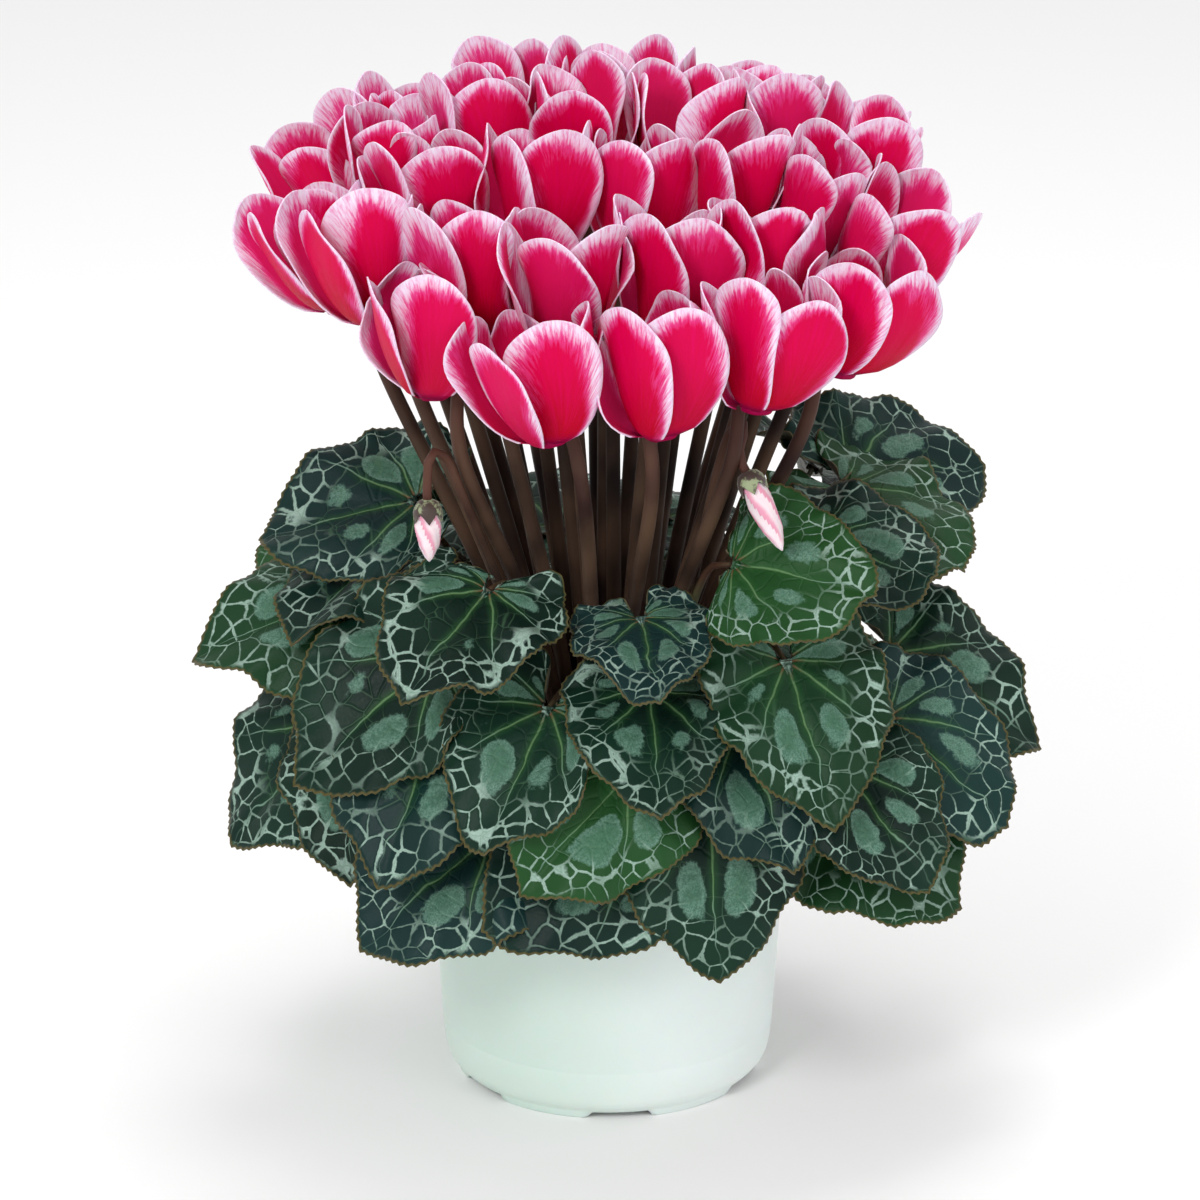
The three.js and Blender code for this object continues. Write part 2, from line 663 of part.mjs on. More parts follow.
// Leaves, bent clear of each other, of the stalks and of the pot.
const nodes = [...LEAVES.map((leaf) => [leaf]), ...FANS.map(fan)];
const leaves = nodes.flatMap((group, node) => {
  const large = group.length === 1;
  return group.map((leaf) => ({ ...leaf, node, large }));
});
const blades = leaves.map((leaf, i) => bladePoints(leaf, i, leaf.large));
const stalked = leaves.flatMap((leaf, i) => (leaf.large || leaf.leading ? [i] : []));
const leafTraces = stalked.map((i) => trace(leafStalk(leaves[i], blades[i])));

function potPlane(centre) {
  const outward = centre.clone().setZ(0).normalize();
  const over = centre.z - POT_HEIGHT;
  const beyond = Math.hypot(centre.x, centre.y) - POT_RIM_RADIUS;
  const tilt = Math.max(0, Math.atan2(over, beyond));
  const normal = outward.clone().multiplyScalar(-Math.cos(tilt)).addScaledVector(UP, -Math.sin(tilt));
  const rim = along(new THREE.Vector3(0, 0, POT_HEIGHT), outward, POT_RIM_RADIUS);
  return { normal, level: rim.dot(normal) - 1.5 };
}

const BLADE_MARGIN = BLADE_THICKNESS / 2 + GAP;
const BLADE_CLEARANCE = FLOWER_STALK_RADIUS + 0.8;
const ROUNDS = 3;
for (let round = 0; round < ROUNDS; round += 1) {
  const planes = blades.map(() => []);
  const centres = blades.map(middle);
  const reaches = blades.map((blade, i) => reach(blade, centres[i]));
  blades.forEach((blade, i) => {
    for (let j = i + 1; j < blades.length; j += 1) {
      if (leaves[i].node !== leaves[j].node && centres[i].distanceTo(centres[j]) < reaches[i] + reaches[j]) {
        const plane = partingPlane(blade, blades[j], BLADE_MARGIN, false);
        planes[i].push(plane);
        planes[j].push(farSide(plane, BLADE_MARGIN));
      }
    }
    const others = leafTraces.filter((_, j) => stalked[j] !== i);
    [...flowerTraces, ...others].forEach((stalk) => {
      const near = stalk.filter((point) => point.distanceTo(centres[i]) < reaches[i] + 4);
      if (near.length > 0) {
        planes[i].push(partingPlane(blade, near, BLADE_CLEARANCE, true));
      }
    });
    planes[i].push(potPlane(centres[i]));
  });
  blades.forEach((blade, i) => bend(blade, planes[i]));
}
const leafStalks = stalked.map((i) => leafStalk(leaves[i], blades[i]));

add('pot', pot(), MATERIALS.pot);
add('soil', soil(), MATERIALS.soil);
add('tuber_and_stalks', fuse([
  tuber(),
  ...flowerStalks.map((points) => rod(points, FLOWER_STALK_RADIUS, FLOWER_STALK_SIDES, 0.8)),
  ...budStalks.map((points) => rod(points, BUD_STALK_RADIUS, FLOWER_STALK_SIDES, 1)),
  ...leafStalks.map((points) => rod(points, LEAF_STALK_RADIUS, LEAF_STALK_SIDES, 0)),
]), MATERIALS.stalk);
bloomNodes.forEach((group, node) => {
  const own = frames.flatMap((frame, i) => (bloomNode[i] === node ? [bloomSolid(frame, petalSets[i])] : []));
  const name = group.length === 1 ? numbered('bloom', node) : numbered('bloom_group', node - BLOOMS.length);
  add(name, fuse(own), MATERIALS.petal);
});
BUDS.forEach((place, i) => add(numbered('bud', i), bud(place), MATERIALS.bud));
nodes.forEach((group, node) => {
  const { faces, edge } = bladeFaces(group.length === 1);
  const own = blades.filter((_, i) => leaves[i].node === node);
  const sheets = own.map((blade) => fromTriangles(skin(blade, faces, edge, BLADE_THICKNESS).triangles));
  const name = group.length === 1 ? numbered('leaf', node) : numbered('leaf_fan', node - LEAVES.length);
  add(name, fuse(sheets), MATERIALS.leaf);
});

export default plant;
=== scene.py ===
"""Potted cyclamen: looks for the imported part. Forms are in millimetres, looks and lights in metres."""
import math

import bpy
import numpy as np
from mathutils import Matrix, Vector


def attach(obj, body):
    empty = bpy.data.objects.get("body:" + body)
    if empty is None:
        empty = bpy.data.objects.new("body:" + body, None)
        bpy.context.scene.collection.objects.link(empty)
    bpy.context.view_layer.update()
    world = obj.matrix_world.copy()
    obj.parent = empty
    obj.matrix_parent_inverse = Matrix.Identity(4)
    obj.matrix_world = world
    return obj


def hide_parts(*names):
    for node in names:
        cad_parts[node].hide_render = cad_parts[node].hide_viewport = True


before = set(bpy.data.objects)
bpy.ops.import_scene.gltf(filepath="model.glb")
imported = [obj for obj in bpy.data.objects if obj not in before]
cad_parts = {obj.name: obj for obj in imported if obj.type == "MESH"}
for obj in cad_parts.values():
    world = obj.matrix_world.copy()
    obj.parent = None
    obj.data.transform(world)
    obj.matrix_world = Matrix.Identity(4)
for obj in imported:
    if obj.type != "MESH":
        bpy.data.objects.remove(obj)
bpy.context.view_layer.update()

# Layout, as in the solid part
METRE, GAP = 1000, 0.3
POT_HEIGHT, POT_RIM_RADIUS, POT_FOOT_RADIUS, POT_FOOT_HEIGHT, POT_FLOOR = 105, 65, 53.5, 3, 5
PAD_RADIUS, FOOT_NOTCHES, FOOT_NOTCH_WIDTH = 11, 6, 24
SOIL_TOP, TUBER_RADIUS, TUBER_BASE, TUBER_TOP = 95, 26, 72, 98
BLADE_THICKNESS, PETAL_THICKNESS = 0.8, 0.8
PETAL_HEIGHT, PETAL_HALF_WIDTH = 42.5, 12.8
PETAL_FLARE, FLARE_START, FLARE_FULL = 0.4, 60, 100
PETAL_WIDEST, PETAL_FOOT, THROAT_RADIUS, PETAL_SPREAD, PETAL_CUP, PETAL_SLANT = 0.64, 2, 5, 16.5, 0.3, 0.2
NOSE_HEIGHT, BLOOM_MIDDLE, BLOOM_REACH = 12, 21, 34
FLOWER_STALK_RADIUS, STALK_BEND_HEIGHT = 2.1, 170
PETAL_ROOM, LEAF_ROOM, RIM_ROOM = 0.6, 0.8, 1.5
STALK_SINK, LEAF_STALK_SINK, LEAF_STALK_INSET, LEAF_STALK_RISE = 6, 5, 2.5, 14
LEAN_OUT, LEAN_FORTH, LEAN_CHANCE = 0.0028, 0.0006, 0.36
HOOK = [[9.2, -16], [9, 8], [7.2, 18], [2.6, 20.6], [0, 16.5], [0, NOSE_HEIGHT + GAP]]
BUD_HOOK = [[15, 4, 0], [9, 15, 0], [2, 17, 1]]
BLOOMS = [
    [-18, -80, 257], [18, -79, 259], [49, -71, 265], [77, -48, 270], [-58, -60, 266],
    [-90, -8, 280], [-77, -33, 283], [-45, -45, 281], [-14, -48, 281], [20, -43, 279],
    [51, -37, 281], [84, -12, 283], [64, -4, 291], [-55, -2, 294], [-24, -11, 297],
    [9, -8, 296], [39, 0, 297], [78, 26, 297], [-69, 30, 296], [-40, 32, 305],
    [-8, 26, 308], [26, 28, 308], [53, 38, 304],
]
BLOOM_GROUPS = [
    [[-26, 66, 304], [8, 64, 306]],
    [[44, 76, 296], [72, 62, 290], [26, 100, 286], [58, 104, 278]],
    [[-60, 68, 294], [-84, 56, 288]],
    [[-42, 98, 284], [-8, 100, 288]],
]
BUDS = [
    {"at": [-60, -70, 232], "lean": [0.02, -0.1, -1], "length": 19},
    {"at": [47, -64, 240], "lean": [0.42, -0.2, -0.9], "length": 27},
]
BUD_RADIUS = 4.6
LEAVES = [
    ([11, -63, 189], [17, -105, 182], 0), ([14, -66, 164], [18, -116, 146], 0),
    ([60, -58, 172], [78, -98, 134], 0), ([-55, -60, 152], [-80, -96, 110], 0),
    ([-20, -70, 160], [-42, -108, 126], 6), ([7, -82, 141], [-27, -114, 112], -8),
    ([9, -74, 117], [-42, -96, 90], -10), ([33, -76, 126], [40, -97, 72], 0),
    ([-40, -68, 112], [-86, -88, 82], 0), ([-58, -48, 170], [-108, -70, 136], 0),
    ([-84, -12, 180], [-144, -18, 166], 0), ([-66, 4, 208], [-122, -4, 202], 0),
    ([-40, -64, 200], [-68, -104, 182], 0), ([42, -55, 206], [88, -79, 207], 0),
    ([70, -12, 198], [114, -32, 196], 0), ([98, -8, 156], [153, -16, 132], 0),
    ([96, -36, 143], [140, -58, 116], 0), ([80, -62, 134], [110, -90, 106], 0),
    ([76, -50, 112], [124, -66, 90], 0), ([43, -66, 152], [64, -98, 114], 0),
]
FANS = [
    (166, 64, 192, 4), (94, 72, 172, -10), (24, 78, 206, 0), (192, 82, 136, 44),
    (146, 80, 146, 40), (100, 76, 132, 40), (54, 80, 150, 40), (10, 82, 122, 38),
]
FAN_SPREAD, FAN_STEP, FAN_BLADE = [-62, 0, 62], 14, 54
LIGHT = np.array([0, -0.9, 0])
BLADE_OUTLINE = [[1, 0], [0.8, 0.25], [0.42, 0.5], [-0.02, 0.55], [-0.34, 0.36], [-0.3, 0.15], [0, 0.03]]
BLADE_MIDDLE, BLADE_RING = 0.15, 0.55
PETAL_POINTS = [[0, -1], [0, 1], [0.42, -1], [0.42, 0], [0.42, 1], [0.84, -1], [0.84, 0], [0.84, 1], [1, 0]]
PETAL_ANGLES = [58, 119, 180, 241, 302]
PETAL_OPEN = [0.9, 0.74, 0.72, 0.74, 0.9]
UP = np.array([0.0, 0.0, 1.0])

# Finer detail
BLADE_TURNS, TOOTH = ((184, 0.014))
BLADE_RINGS = [0.1, 0.22, 0.34, 0.46, 0.57, 0.67, 0.76, 0.84, 0.905, 0.955, 1]
VEIN_ANGLE = 0.66
FINE_OUTLINE = [
    [0.99, 0], [0.945, 0.09], [0.84, 0.24], [0.67, 0.4], [0.46, 0.51], [0.21, 0.57], [-0.02, 0.565],
    [-0.2, 0.495], [-0.33, 0.37], [-0.375, 0.235], [-0.325, 0.125], [-0.15, 0.075], [0, 0.035],
]
PETAL_ROWS, PETAL_COLUMNS = ((20, 14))
FULLER, TALLER, FLAT_LENGTH = 1.19, 1.07, 44
LAP_GAP, LAP_MOST, LAP_PUSH, LAP_ROWS = 1.8, 9, 0.9, 5
PETAL_SKIN, BLADE_SKIN, CALYX_SKIN = 0.5, 0.55, 0.5
CALYX_SIDES, BUD_SIDES, BUD_RINGS = 30, 40, 29
NEAR_AXIS = 0.01


def chance(seed, index):
    value = math.sin(seed * 12.9898 + index * 78.233) * 43758.5453
    return value - math.floor(value)


def unit(v):
    v = np.asarray(v, float)
    return v / np.linalg.norm(v)


def ring(radius, angle, z):
    return np.array([radius * math.cos(angle), radius * math.sin(angle), z], float)


def from_axis(point):
    return math.hypot(point[0], point[1])


def azimuth_of(point):
    return math.atan2(point[1], point[0])


def turned(v, axis, angle):
    return (v * math.cos(angle) + np.cross(axis, v) * math.sin(angle)
            + axis * axis.dot(v) * (1 - math.cos(angle)))


# Parting planes: what keeps blades, petals and stalks clear of one another
TRIED, HALVINGS, BEND_STEPS, LEAF_ROUNDS, LEAST_KEPT = 60, 14, 60, 3, 0.3
levels = [(i + 0.5) / TRIED for i in range(TRIED)]
half = np.array([ring(math.sqrt(1 - z ** 2), i * math.pi * (3 - math.sqrt(5)), z)
                 for i, z in enumerate(levels)])
DIRECTIONS = np.stack([half, -half], 1).reshape(-1, 3)


def parting_plane(points, others, margin, stiff):
    below, above = points @ DIRECTIONS.T, others @ DIRECTIONS.T
    if stiff:
        level = above.min(0)
        cost = (np.maximum(0, below + margin - level) ** 2).sum(0)
    else:
        low, high = above.min(0), below.max(0)
        clear = high <= low
        middle_level = (low + high) / 2
        for _ in range(HALVINGS):
            level = (low + high) / 2
            slope = np.maximum(0, level - above).sum(0) - np.maximum(0, below - level).sum(0)
            high = np.where(slope > 0, level, high)
            low = np.where(slope > 0, low, level)
        level = (low + high) / 2
        cost = (np.maximum(0, below - level) ** 2).sum(0) + (np.maximum(0, level - above) ** 2).sum(0)
        level, cost = np.where(clear, middle_level, level), np.where(clear, 0, cost)
    best = int(np.argmin(cost))
    return DIRECTIONS[best], level[best] - margin


def far_side(plane, margin):
    return -plane[0], -plane[1] - 2 * margin


def bend(points, planes):
    for _ in range(BEND_STEPS):
        for normal, level in planes:
            over = np.maximum(0, points @ normal - level)
            points -= over[:, None] * normal


# Smooth curve through points
def curve_point(points, t):
    count = len(points)
    place = (count - 1) * t
    index = min(int(math.floor(place)), count - 2)
    weight = place - index
    p1, p2 = points[index], points[index + 1]
    p0 = points[index - 1] if index > 0 else 2 * points[0] - points[1]
    p3 = points[index + 2] if index + 2 < count else 2 * points[-1] - points[-2]
    d1 = max(np.linalg.norm(p2 - p1) ** 0.5, 1e-4)
    d0 = np.linalg.norm(p1 - p0) ** 0.5
    d2 = np.linalg.norm(p3 - p2) ** 0.5
    d0, d2 = (d0 if d0 > 1e-4 else d1), (d2 if d2 > 1e-4 else d1)
    t1 = ((p1 - p0) / d0 - (p2 - p0) / (d0 + d1) + (p2 - p1) / d1) * d1
    t2 = ((p2 - p1) / d1 - (p3 - p1) / (d1 + d2) + (p3 - p2) / d2) * d1
    c2, c3 = -3 * p1 + 3 * p2 - 2 * t1 - t2, 2 * p1 - 2 * p2 + t1 + t2
    return p1 + t1 * weight + c2 * weight ** 2 + c3 * weight ** 3


def lengths_along(points):
    return np.concatenate([[0], np.cumsum(np.linalg.norm(np.diff(points, axis=0), axis=1))])


# The curve's points at even distances: about a step apart, or in a number of steps
def spaced(points, step=None, count=None):
    points = [np.asarray(p, float) for p in points]
    places = np.arange(201) / 200
    lengths = lengths_along([curve_point(points, t) for t in places])
    count = count or math.ceil(lengths[-1] / step)
    at = np.interp(np.arange(count + 1) / count * lengths[-1], lengths, places)
    return np.array([curve_point(points, t) for t in at])


# Blooms
def bloom_frame(nose, seed):
    outward = np.array([nose[0], nose[1], 0.0])
    forth = LEAN_FORTH if nose[1] < 0 else LEAN_OUT
    aside, ahead = (LEAN_CHANCE * (chance(seed, k) - 0.5) for k in (2, 17))
    axis = unit([LEAN_OUT * nose[0] + aside, forth * nose[1] + ahead, 1])
    inward = -outward
    inward = unit(inward - axis * inward.dot(axis))
    inward = turned(inward, axis, (chance(seed, 1) - 0.5) * 1.4)
    return {"nose": nose, "axis": axis, "to_stalk": inward, "side": np.cross(axis, inward)}


def in_bloom(f, x, y, z):
    x, y, z = (np.asarray(v, float)[..., None] for v in (x, y, z))
    return f["nose"] + x * f["to_stalk"] + y * f["side"] + z * f["axis"]


def petal_half_width(s):
    offset = np.where(s < PETAL_WIDEST, (PETAL_WIDEST - s) / 0.66, (s - PETAL_WIDEST) / (1 - PETAL_WIDEST))
    return PETAL_HALF_WIDTH * np.maximum(0, 1 - offset ** 2.2) ** 0.55


def petal_surface(f, angle, s, width, opening, height_to, extra=0):
    radius = THROAT_RADIUS + PETAL_SPREAD * opening * np.sin(math.pi / 2 * s ** 0.7)
    out = radius - PETAL_CUP * width * width / radius + PETAL_SLANT * width + extra
    height = PETAL_FOOT + height_to * s ** 1.15
    cos, sin = math.cos(angle), math.sin(angle)
    return in_bloom(f, out * cos - width * sin, out * sin + width * cos, height)


def petal_angle(seed, k):
    return math.radians(PETAL_ANGLES[k] + 4 * (chance(seed, 33 + k) - 0.5))


def opening(f, seed, k):
    far = min(1, max(0, (from_axis(f["nose"]) - FLARE_START) / (FLARE_FULL - FLARE_START)))
    flare = PETAL_FLARE * far * far * (3 - 2 * far)
    return PETAL_OPEN[k] + 0.24 * chance(seed, 10 + k) + flare * max(0, -math.cos(petal_angle(seed, k)))


def tall(f, seed, k):
    return PETAL_HEIGHT * (0.9 + 0.16 * chance(seed, 20 + k)) * (1.3 - 0.3 * opening(f, seed, k))


def flower_stalk(f):
    foot = ring(0.14 * from_axis(f["nose"]) + 1, azimuth_of(f["nose"]), TUBER_TOP - STALK_SINK)
    hook = [in_bloom(f, x, 0, z) for x, z in HOOK]
    low = foot + 0.36 * (hook[0] - foot)
    low[2] = STALK_BEND_HEIGHT
    return [foot, low] + hook


def bud_stalk(b):
    end, back = np.array(b["at"], float), -unit(b["lean"])
    inward = ring(-1, azimuth_of(end), 0)
    foot = ring(15, azimuth_of(end) + 0.12, TUBER_TOP - STALK_SINK)
    low = foot + 0.4 * (end - foot)
    low[2] = STALK_BEND_HEIGHT
    hook = [end + x * inward + z * UP + along * back for x, z, along in BUD_HOOK]
    return [foot, low] + hook + [end + 8 * back, end + GAP * back]


groups = [[nose] for nose in BLOOMS] + BLOOM_GROUPS
bloom_node = [node for node, group in enumerate(groups) for _ in group]
frames = [bloom_frame(np.array(nose, float), i) for i, nose in enumerate(n for g in groups for n in g)]
flower_stalks = [flower_stalk(f) for f in frames]
bud_stalks = [bud_stalk(b) for b in BUDS]
flower_traces = [spaced(points, 4) for points in flower_stalks + bud_stalks]
PETAL_MARGIN = (PETAL_THICKNESS + GAP) / 2
ctrl_s, ctrl_u = np.array(PETAL_POINTS, float).T


def bloom_cell(i, points):
    centre = frames[i]["nose"] + BLOOM_MIDDLE * frames[i]["axis"]
    planes = []
    for j, other in enumerate(frames):
        away = other["nose"] + BLOOM_MIDDLE * other["axis"] - centre
        distance = np.linalg.norm(away)
        if bloom_node[i] != bloom_node[j] and distance < 2 * BLOOM_REACH:
            away = away / distance
            planes.append((away, centre.dot(away) + distance / 2 - PETAL_MARGIN))
    for j, stalk in enumerate(flower_traces):
        near = stalk[np.linalg.norm(stalk - centre, axis=1) < BLOOM_REACH]
        if i != j and len(near):
            planes.append(parting_plane(points, near, FLOWER_STALK_RADIUS + PETAL_ROOM, True))
    return planes


def draw_in(points, f, planes):
    for point in points:
        centre = f["nose"] + f["axis"] * (point - f["nose"]).dot(f["axis"])
        for normal, level in planes:
            if point.dot(normal) > level:
                out = point - centre
                point[:] = centre + out * max(LEAST_KEPT, (level - centre.dot(normal)) / out.dot(normal))


def settled_petals(i):
    f = frames[i]
    free = [petal_surface(f, petal_angle(i, k), ctrl_s, petal_half_width(ctrl_s) * ctrl_u, opening(f, i, k),
                          tall(f, i, k)) for k in range(5)]
    moved = [points.copy() for points in free]
    cell = bloom_cell(i, np.concatenate(moved))
    for points in moved:
        draw_in(points, f, cell)
    planes = [list(cell) for _ in moved]
    for k, points in enumerate(moved):
        after = (k + 1) % len(moved)
        plane = parting_plane(points, moved[after], PETAL_MARGIN, False)
        planes[k].append(plane)
        planes[after].append(far_side(plane, PETAL_MARGIN))
    for points, own in zip(moved, planes):
        bend(points, own)
    return [new - old for new, old in zip(moved, free)]


# Leaves
def blade_rise(x, y, seed):
    out = np.hypot(x - BLADE_MIDDLE, y)
    wave = 0.035 * np.sin(5 * np.arctan2(y, x - BLADE_MIDDLE) + 6.3 * seed) * np.minimum(1, 2 * out) ** 2
    lengthwise = -0.2 * np.maximum(0, x) ** 2 + 0.16 * np.maximum(0, -x)
    return lengthwise + 0.26 * np.abs(y) - 0.42 * y * y + wave


def leaf_frame(leaf):
    start = np.array(leaf["at"], float)
    forward = np.array(leaf["tip"], float) - start
    length = np.linalg.norm(forward)
    forward = forward / length
    outward = start + forward * length / 2
    outward[2] = 0
    normal = unit(outward) * 0.9 + LIGHT + UP
    normal = unit(normal - forward * normal.dot(forward))
    normal = turned(normal, forward, math.radians(leaf["roll"]))
    return start, forward, normal, np.cross(normal, forward), length


def blade_surface(leaf, seed, x, y, extra=0):
    start, forward, normal, across, length = leaf_frame(leaf)
    x, y = np.asarray(x, float), np.asarray(y, float)
    rise = blade_rise(x, y, seed) + extra
    return start + length * (x[:, None] * forward + y[:, None] * across + rise[:, None] * normal)


def fan(f, seed):
    azimuth, radius, height, droop = f
    made = []
    for k, spread in enumerate(FAN_SPREAD):
        heading = math.radians(azimuth + spread)
        dip = math.radians(droop + (0 if spread == 0 else 9) + 8 * (chance(seed + 50, k) - 0.5))
        length = FAN_BLADE * (0.92 + 0.16 * chance(seed + 60, k))
        start = ring(radius, math.radians(azimuth), height) + ring(FAN_STEP, heading, 0)
        tip = start + ring(length * math.cos(dip), heading, -length * math.sin(dip))
        made.append({"at": start, "tip": tip, "roll": 0, "leading": spread == 0})
    return made


def leaf_stalk(leaf, points, to_notch=False):
    _, forward, normal, _, _ = leaf_frame(leaf)
    leading = leaf["leading"] and not to_notch
    corner = len(points) - len(BLADE_OUTLINE)
    end = points[0] - normal * BLADE_THICKNESS / 2 if leading else (points[corner] + points[corner + 1]) / 2
    behind, below = (5, 13) if leading else (12, 8)
    back = -behind * forward - below * normal
    azimuth = azimuth_of(leaf["at"])
    root = TUBER_RADIUS - LEAF_STALK_INSET - 0.065 * (leaf["at"][2] - SOIL_TOP - 15)
    approach = end + back
    foot = ring(root, azimuth, TUBER_TOP - LEAF_STALK_SINK)
    rise = ring(root + 4, azimuth, TUBER_TOP + LEAF_STALK_RISE)
    bow = rise + 0.5 * (approach - rise) + UP * 0.06 * np.linalg.norm(approach - rise)
    return [foot, rise, bow, approach, end + unit(back) * 3 * GAP]


def pot_plane(centre):
    outward = unit([centre[0], centre[1], 0])
    tilt = max(0, math.atan2(centre[2] - POT_HEIGHT, from_axis(centre) - POT_RIM_RADIUS))
    normal = -math.cos(tilt) * outward - math.sin(tilt) * UP
    rim = UP * POT_HEIGHT + outward * POT_RIM_RADIUS
    return normal, rim.dot(normal) - RIM_ROOM


leaf_groups = [[{"at": a, "tip": t, "roll": r, "leading": False}] for a, t, r in LEAVES]
leaf_groups += [fan(f, i) for i, f in enumerate(FANS)]
leaves = [dict(leaf, node=n, large=len(g) == 1) for n, g in enumerate(leaf_groups) for leaf in g]
outline = np.array(BLADE_OUTLINE + [[x, -y] for x, y in BLADE_OUTLINE[:0:-1]], float)
blade_centre = np.array([BLADE_MIDDLE, 0])
SMALL_PLAN = np.concatenate([[blade_centre], outline])
LARGE_PLAN = np.concatenate([[blade_centre], blade_centre + (outline - blade_centre) * BLADE_RING, outline])


def plan_of(leaf):
    return LARGE_PLAN if leaf["large"] else SMALL_PLAN


free_blades = [blade_surface(leaf, i, *plan_of(leaf).T) for i, leaf in enumerate(leaves)]
blades = [points.copy() for points in free_blades]
stalked = [i for i, leaf in enumerate(leaves) if leaf["large"] or leaf["leading"]]
leaf_traces = [spaced(leaf_stalk(leaves[i], blades[i]), 4) for i in stalked]
BLADE_MARGIN = BLADE_THICKNESS / 2 + GAP
for _ in range(LEAF_ROUNDS):
    planes = [[] for _ in blades]
    centres = [points.mean(0) for points in blades]
    reaches = [np.linalg.norm(points - c, axis=1).max() for points, c in zip(blades, centres)]
    for i, blade in enumerate(blades):
        for j in range(i + 1, len(blades)):
            apart = np.linalg.norm(centres[i] - centres[j])
            if leaves[i]["node"] != leaves[j]["node"] and apart < reaches[i] + reaches[j]:
                plane = parting_plane(blade, blades[j], BLADE_MARGIN, False)
                planes[i].append(plane)
                planes[j].append(far_side(plane, BLADE_MARGIN))
        for stalk in flower_traces + [t for t, owner in zip(leaf_traces, stalked) if owner != i]:
            near = stalk[np.linalg.norm(stalk - centres[i], axis=1) < reaches[i] + 4]
            if len(near):
                planes[i].append(parting_plane(blade, near, FLOWER_STALK_RADIUS + LEAF_ROOM, True))
        planes[i].append(pot_plane(centres[i]))
    for blade, own in zip(blades, planes):
        bend(blade, own)
leaf_stalks = [leaf_stalk(leaves[i], blades[i]) for i in stalked]
side_stalks = [leaf_stalk(leaf, blades[i], True) for i, leaf in enumerate(leaves) if i not in stalked]


# Spreads the moves of a few places smoothly over a whole sheet
def spread_moves(places, moves, targets, give=0.01):
    def kernel(a, b):
        r = np.linalg.norm(a[:, None, :] - b[None, :, :], axis=2)
        return r * r * np.log(np.maximum(r, 1e-6))
    n = len(places)
    matrix = np.zeros((n + 3, n + 3))
    matrix[:n, :n] = kernel(places, places) + give * np.eye(n)
    matrix[:n, n], matrix[:n, n + 1:] = 1, places
    matrix[n, :n], matrix[n + 1:, :n] = 1, places.T
    weights = np.linalg.solve(matrix, np.concatenate([moves, np.zeros((3, 3))]))
    return kernel(targets, places) @ weights[:n] + weights[n] + targets @ weights[n + 1:]


# Meshes
def piece(name, points, faces, facts, material):
    mesh = bpy.data.meshes.new(name)
    mesh.from_pydata((np.asarray(points) / METRE).tolist(), [], [list(map(int, f)) for f in faces])
    for label, values in facts.items():
        values = np.asarray(values, np.float32)
        kind = "FLOAT_VECTOR" if values.ndim == 2 else "FLOAT"
        layer = mesh.attributes.new(label, kind, "POINT")
        layer.data.foreach_set("vector" if values.ndim == 2 else "value", values.ravel())
    mesh.materials.append(material)
    mesh.polygons.foreach_set("use_smooth", np.full(len(mesh.polygons), True))
    mesh.update()
    obj = bpy.data.objects.new(name, mesh)
    bpy.context.scene.collection.objects.link(obj)
    return obj


def vertex_normals(points, triangles):
    normals = np.zeros_like(points)
    a, b, c = (points[corners] for corners in triangles.T)
    for corners in triangles.T:
        np.add.at(normals, corners, np.cross(b - a, c - a))
    return normals / np.maximum(np.linalg.norm(normals, axis=1, keepdims=True), 1e-12)


# Two faces of a sheet and its edge; "under" is 1 on the lower face
def thick_sheet(points, quads, edge, thickness, facts, triangles=()):
    split = [[a, b, c] for a, b, c, d in quads] + [[a, c, d] for a, b, c, d in quads] + list(triangles)
    normals = vertex_normals(points, np.array(split))
    n = len(points)
    both = np.concatenate([points + normals * thickness / 2, points - normals * thickness / 2])
    faces = [list(q) for q in quads] + [[i + n for i in reversed(q)] for q in quads]
    faces += [list(t) for t in triangles] + [[i + n for i in reversed(t)] for t in triangles]
    for i in range(len(edge)):
        a, b = edge[i], edge[(i + 1) % len(edge)]
        faces.append([b, a, a + n, b + n])
    doubled = {label: np.concatenate([v, v]) for label, v in facts.items()}
    doubled["under"] = np.concatenate([np.zeros(n), np.ones(n)])
    return both, faces, doubled


def merged(parts):
    points, faces, facts, base = [], [], {}, 0
    for own_points, own_faces, own_facts in parts:
        points.append(own_points)
        faces += [[i + base for i in face] for face in own_faces]
        for label, values in own_facts.items():
            facts.setdefault(label, []).append(values)
        base += len(own_points)
    return np.concatenate(points), faces, {label: np.concatenate(values) for label, values in facts.items()}


# Faces between closed rings of points
def band_faces(rings, sides):
    return [[start + k, start + (k + 1) % sides, start + sides + (k + 1) % sides, start + sides + k]
            for start in range(0, (rings - 1) * sides, sides) for k in range(sides)]


def end_faces(rings, sides):
    last = (rings - 1) * sides
    return [list(range(sides))[::-1], list(range(last, last + sides))]


def all_round(sides):
    return 2 * math.pi * np.arange(sides) / sides


def circle(turns, side, other):
    return np.cos(turns)[:, None] * side + np.sin(turns)[:, None] * other


def tube(path, radii, sides, leafy):
    tangents = np.gradient(path, axis=0)
    tangents /= np.maximum(np.linalg.norm(tangents, axis=1, keepdims=True), 1e-9)
    side = unit(np.cross(tangents[0], [0.3, 1, 0.2]))
    rings = []
    for place, tangent, radius in zip(path, tangents, radii):
        side = unit(side - tangent * side.dot(tangent))
        rings.append(place + radius * circle(all_round(sides), side, np.cross(tangent, side)))
    points = np.concatenate(rings)
    faces = band_faces(len(path), sides) + end_faces(len(path), sides)
    along = np.repeat(np.linspace(0, 1, len(path)), sides)
    return points, faces, {"along": along, "leafy": np.full(len(points), float(leafy))}


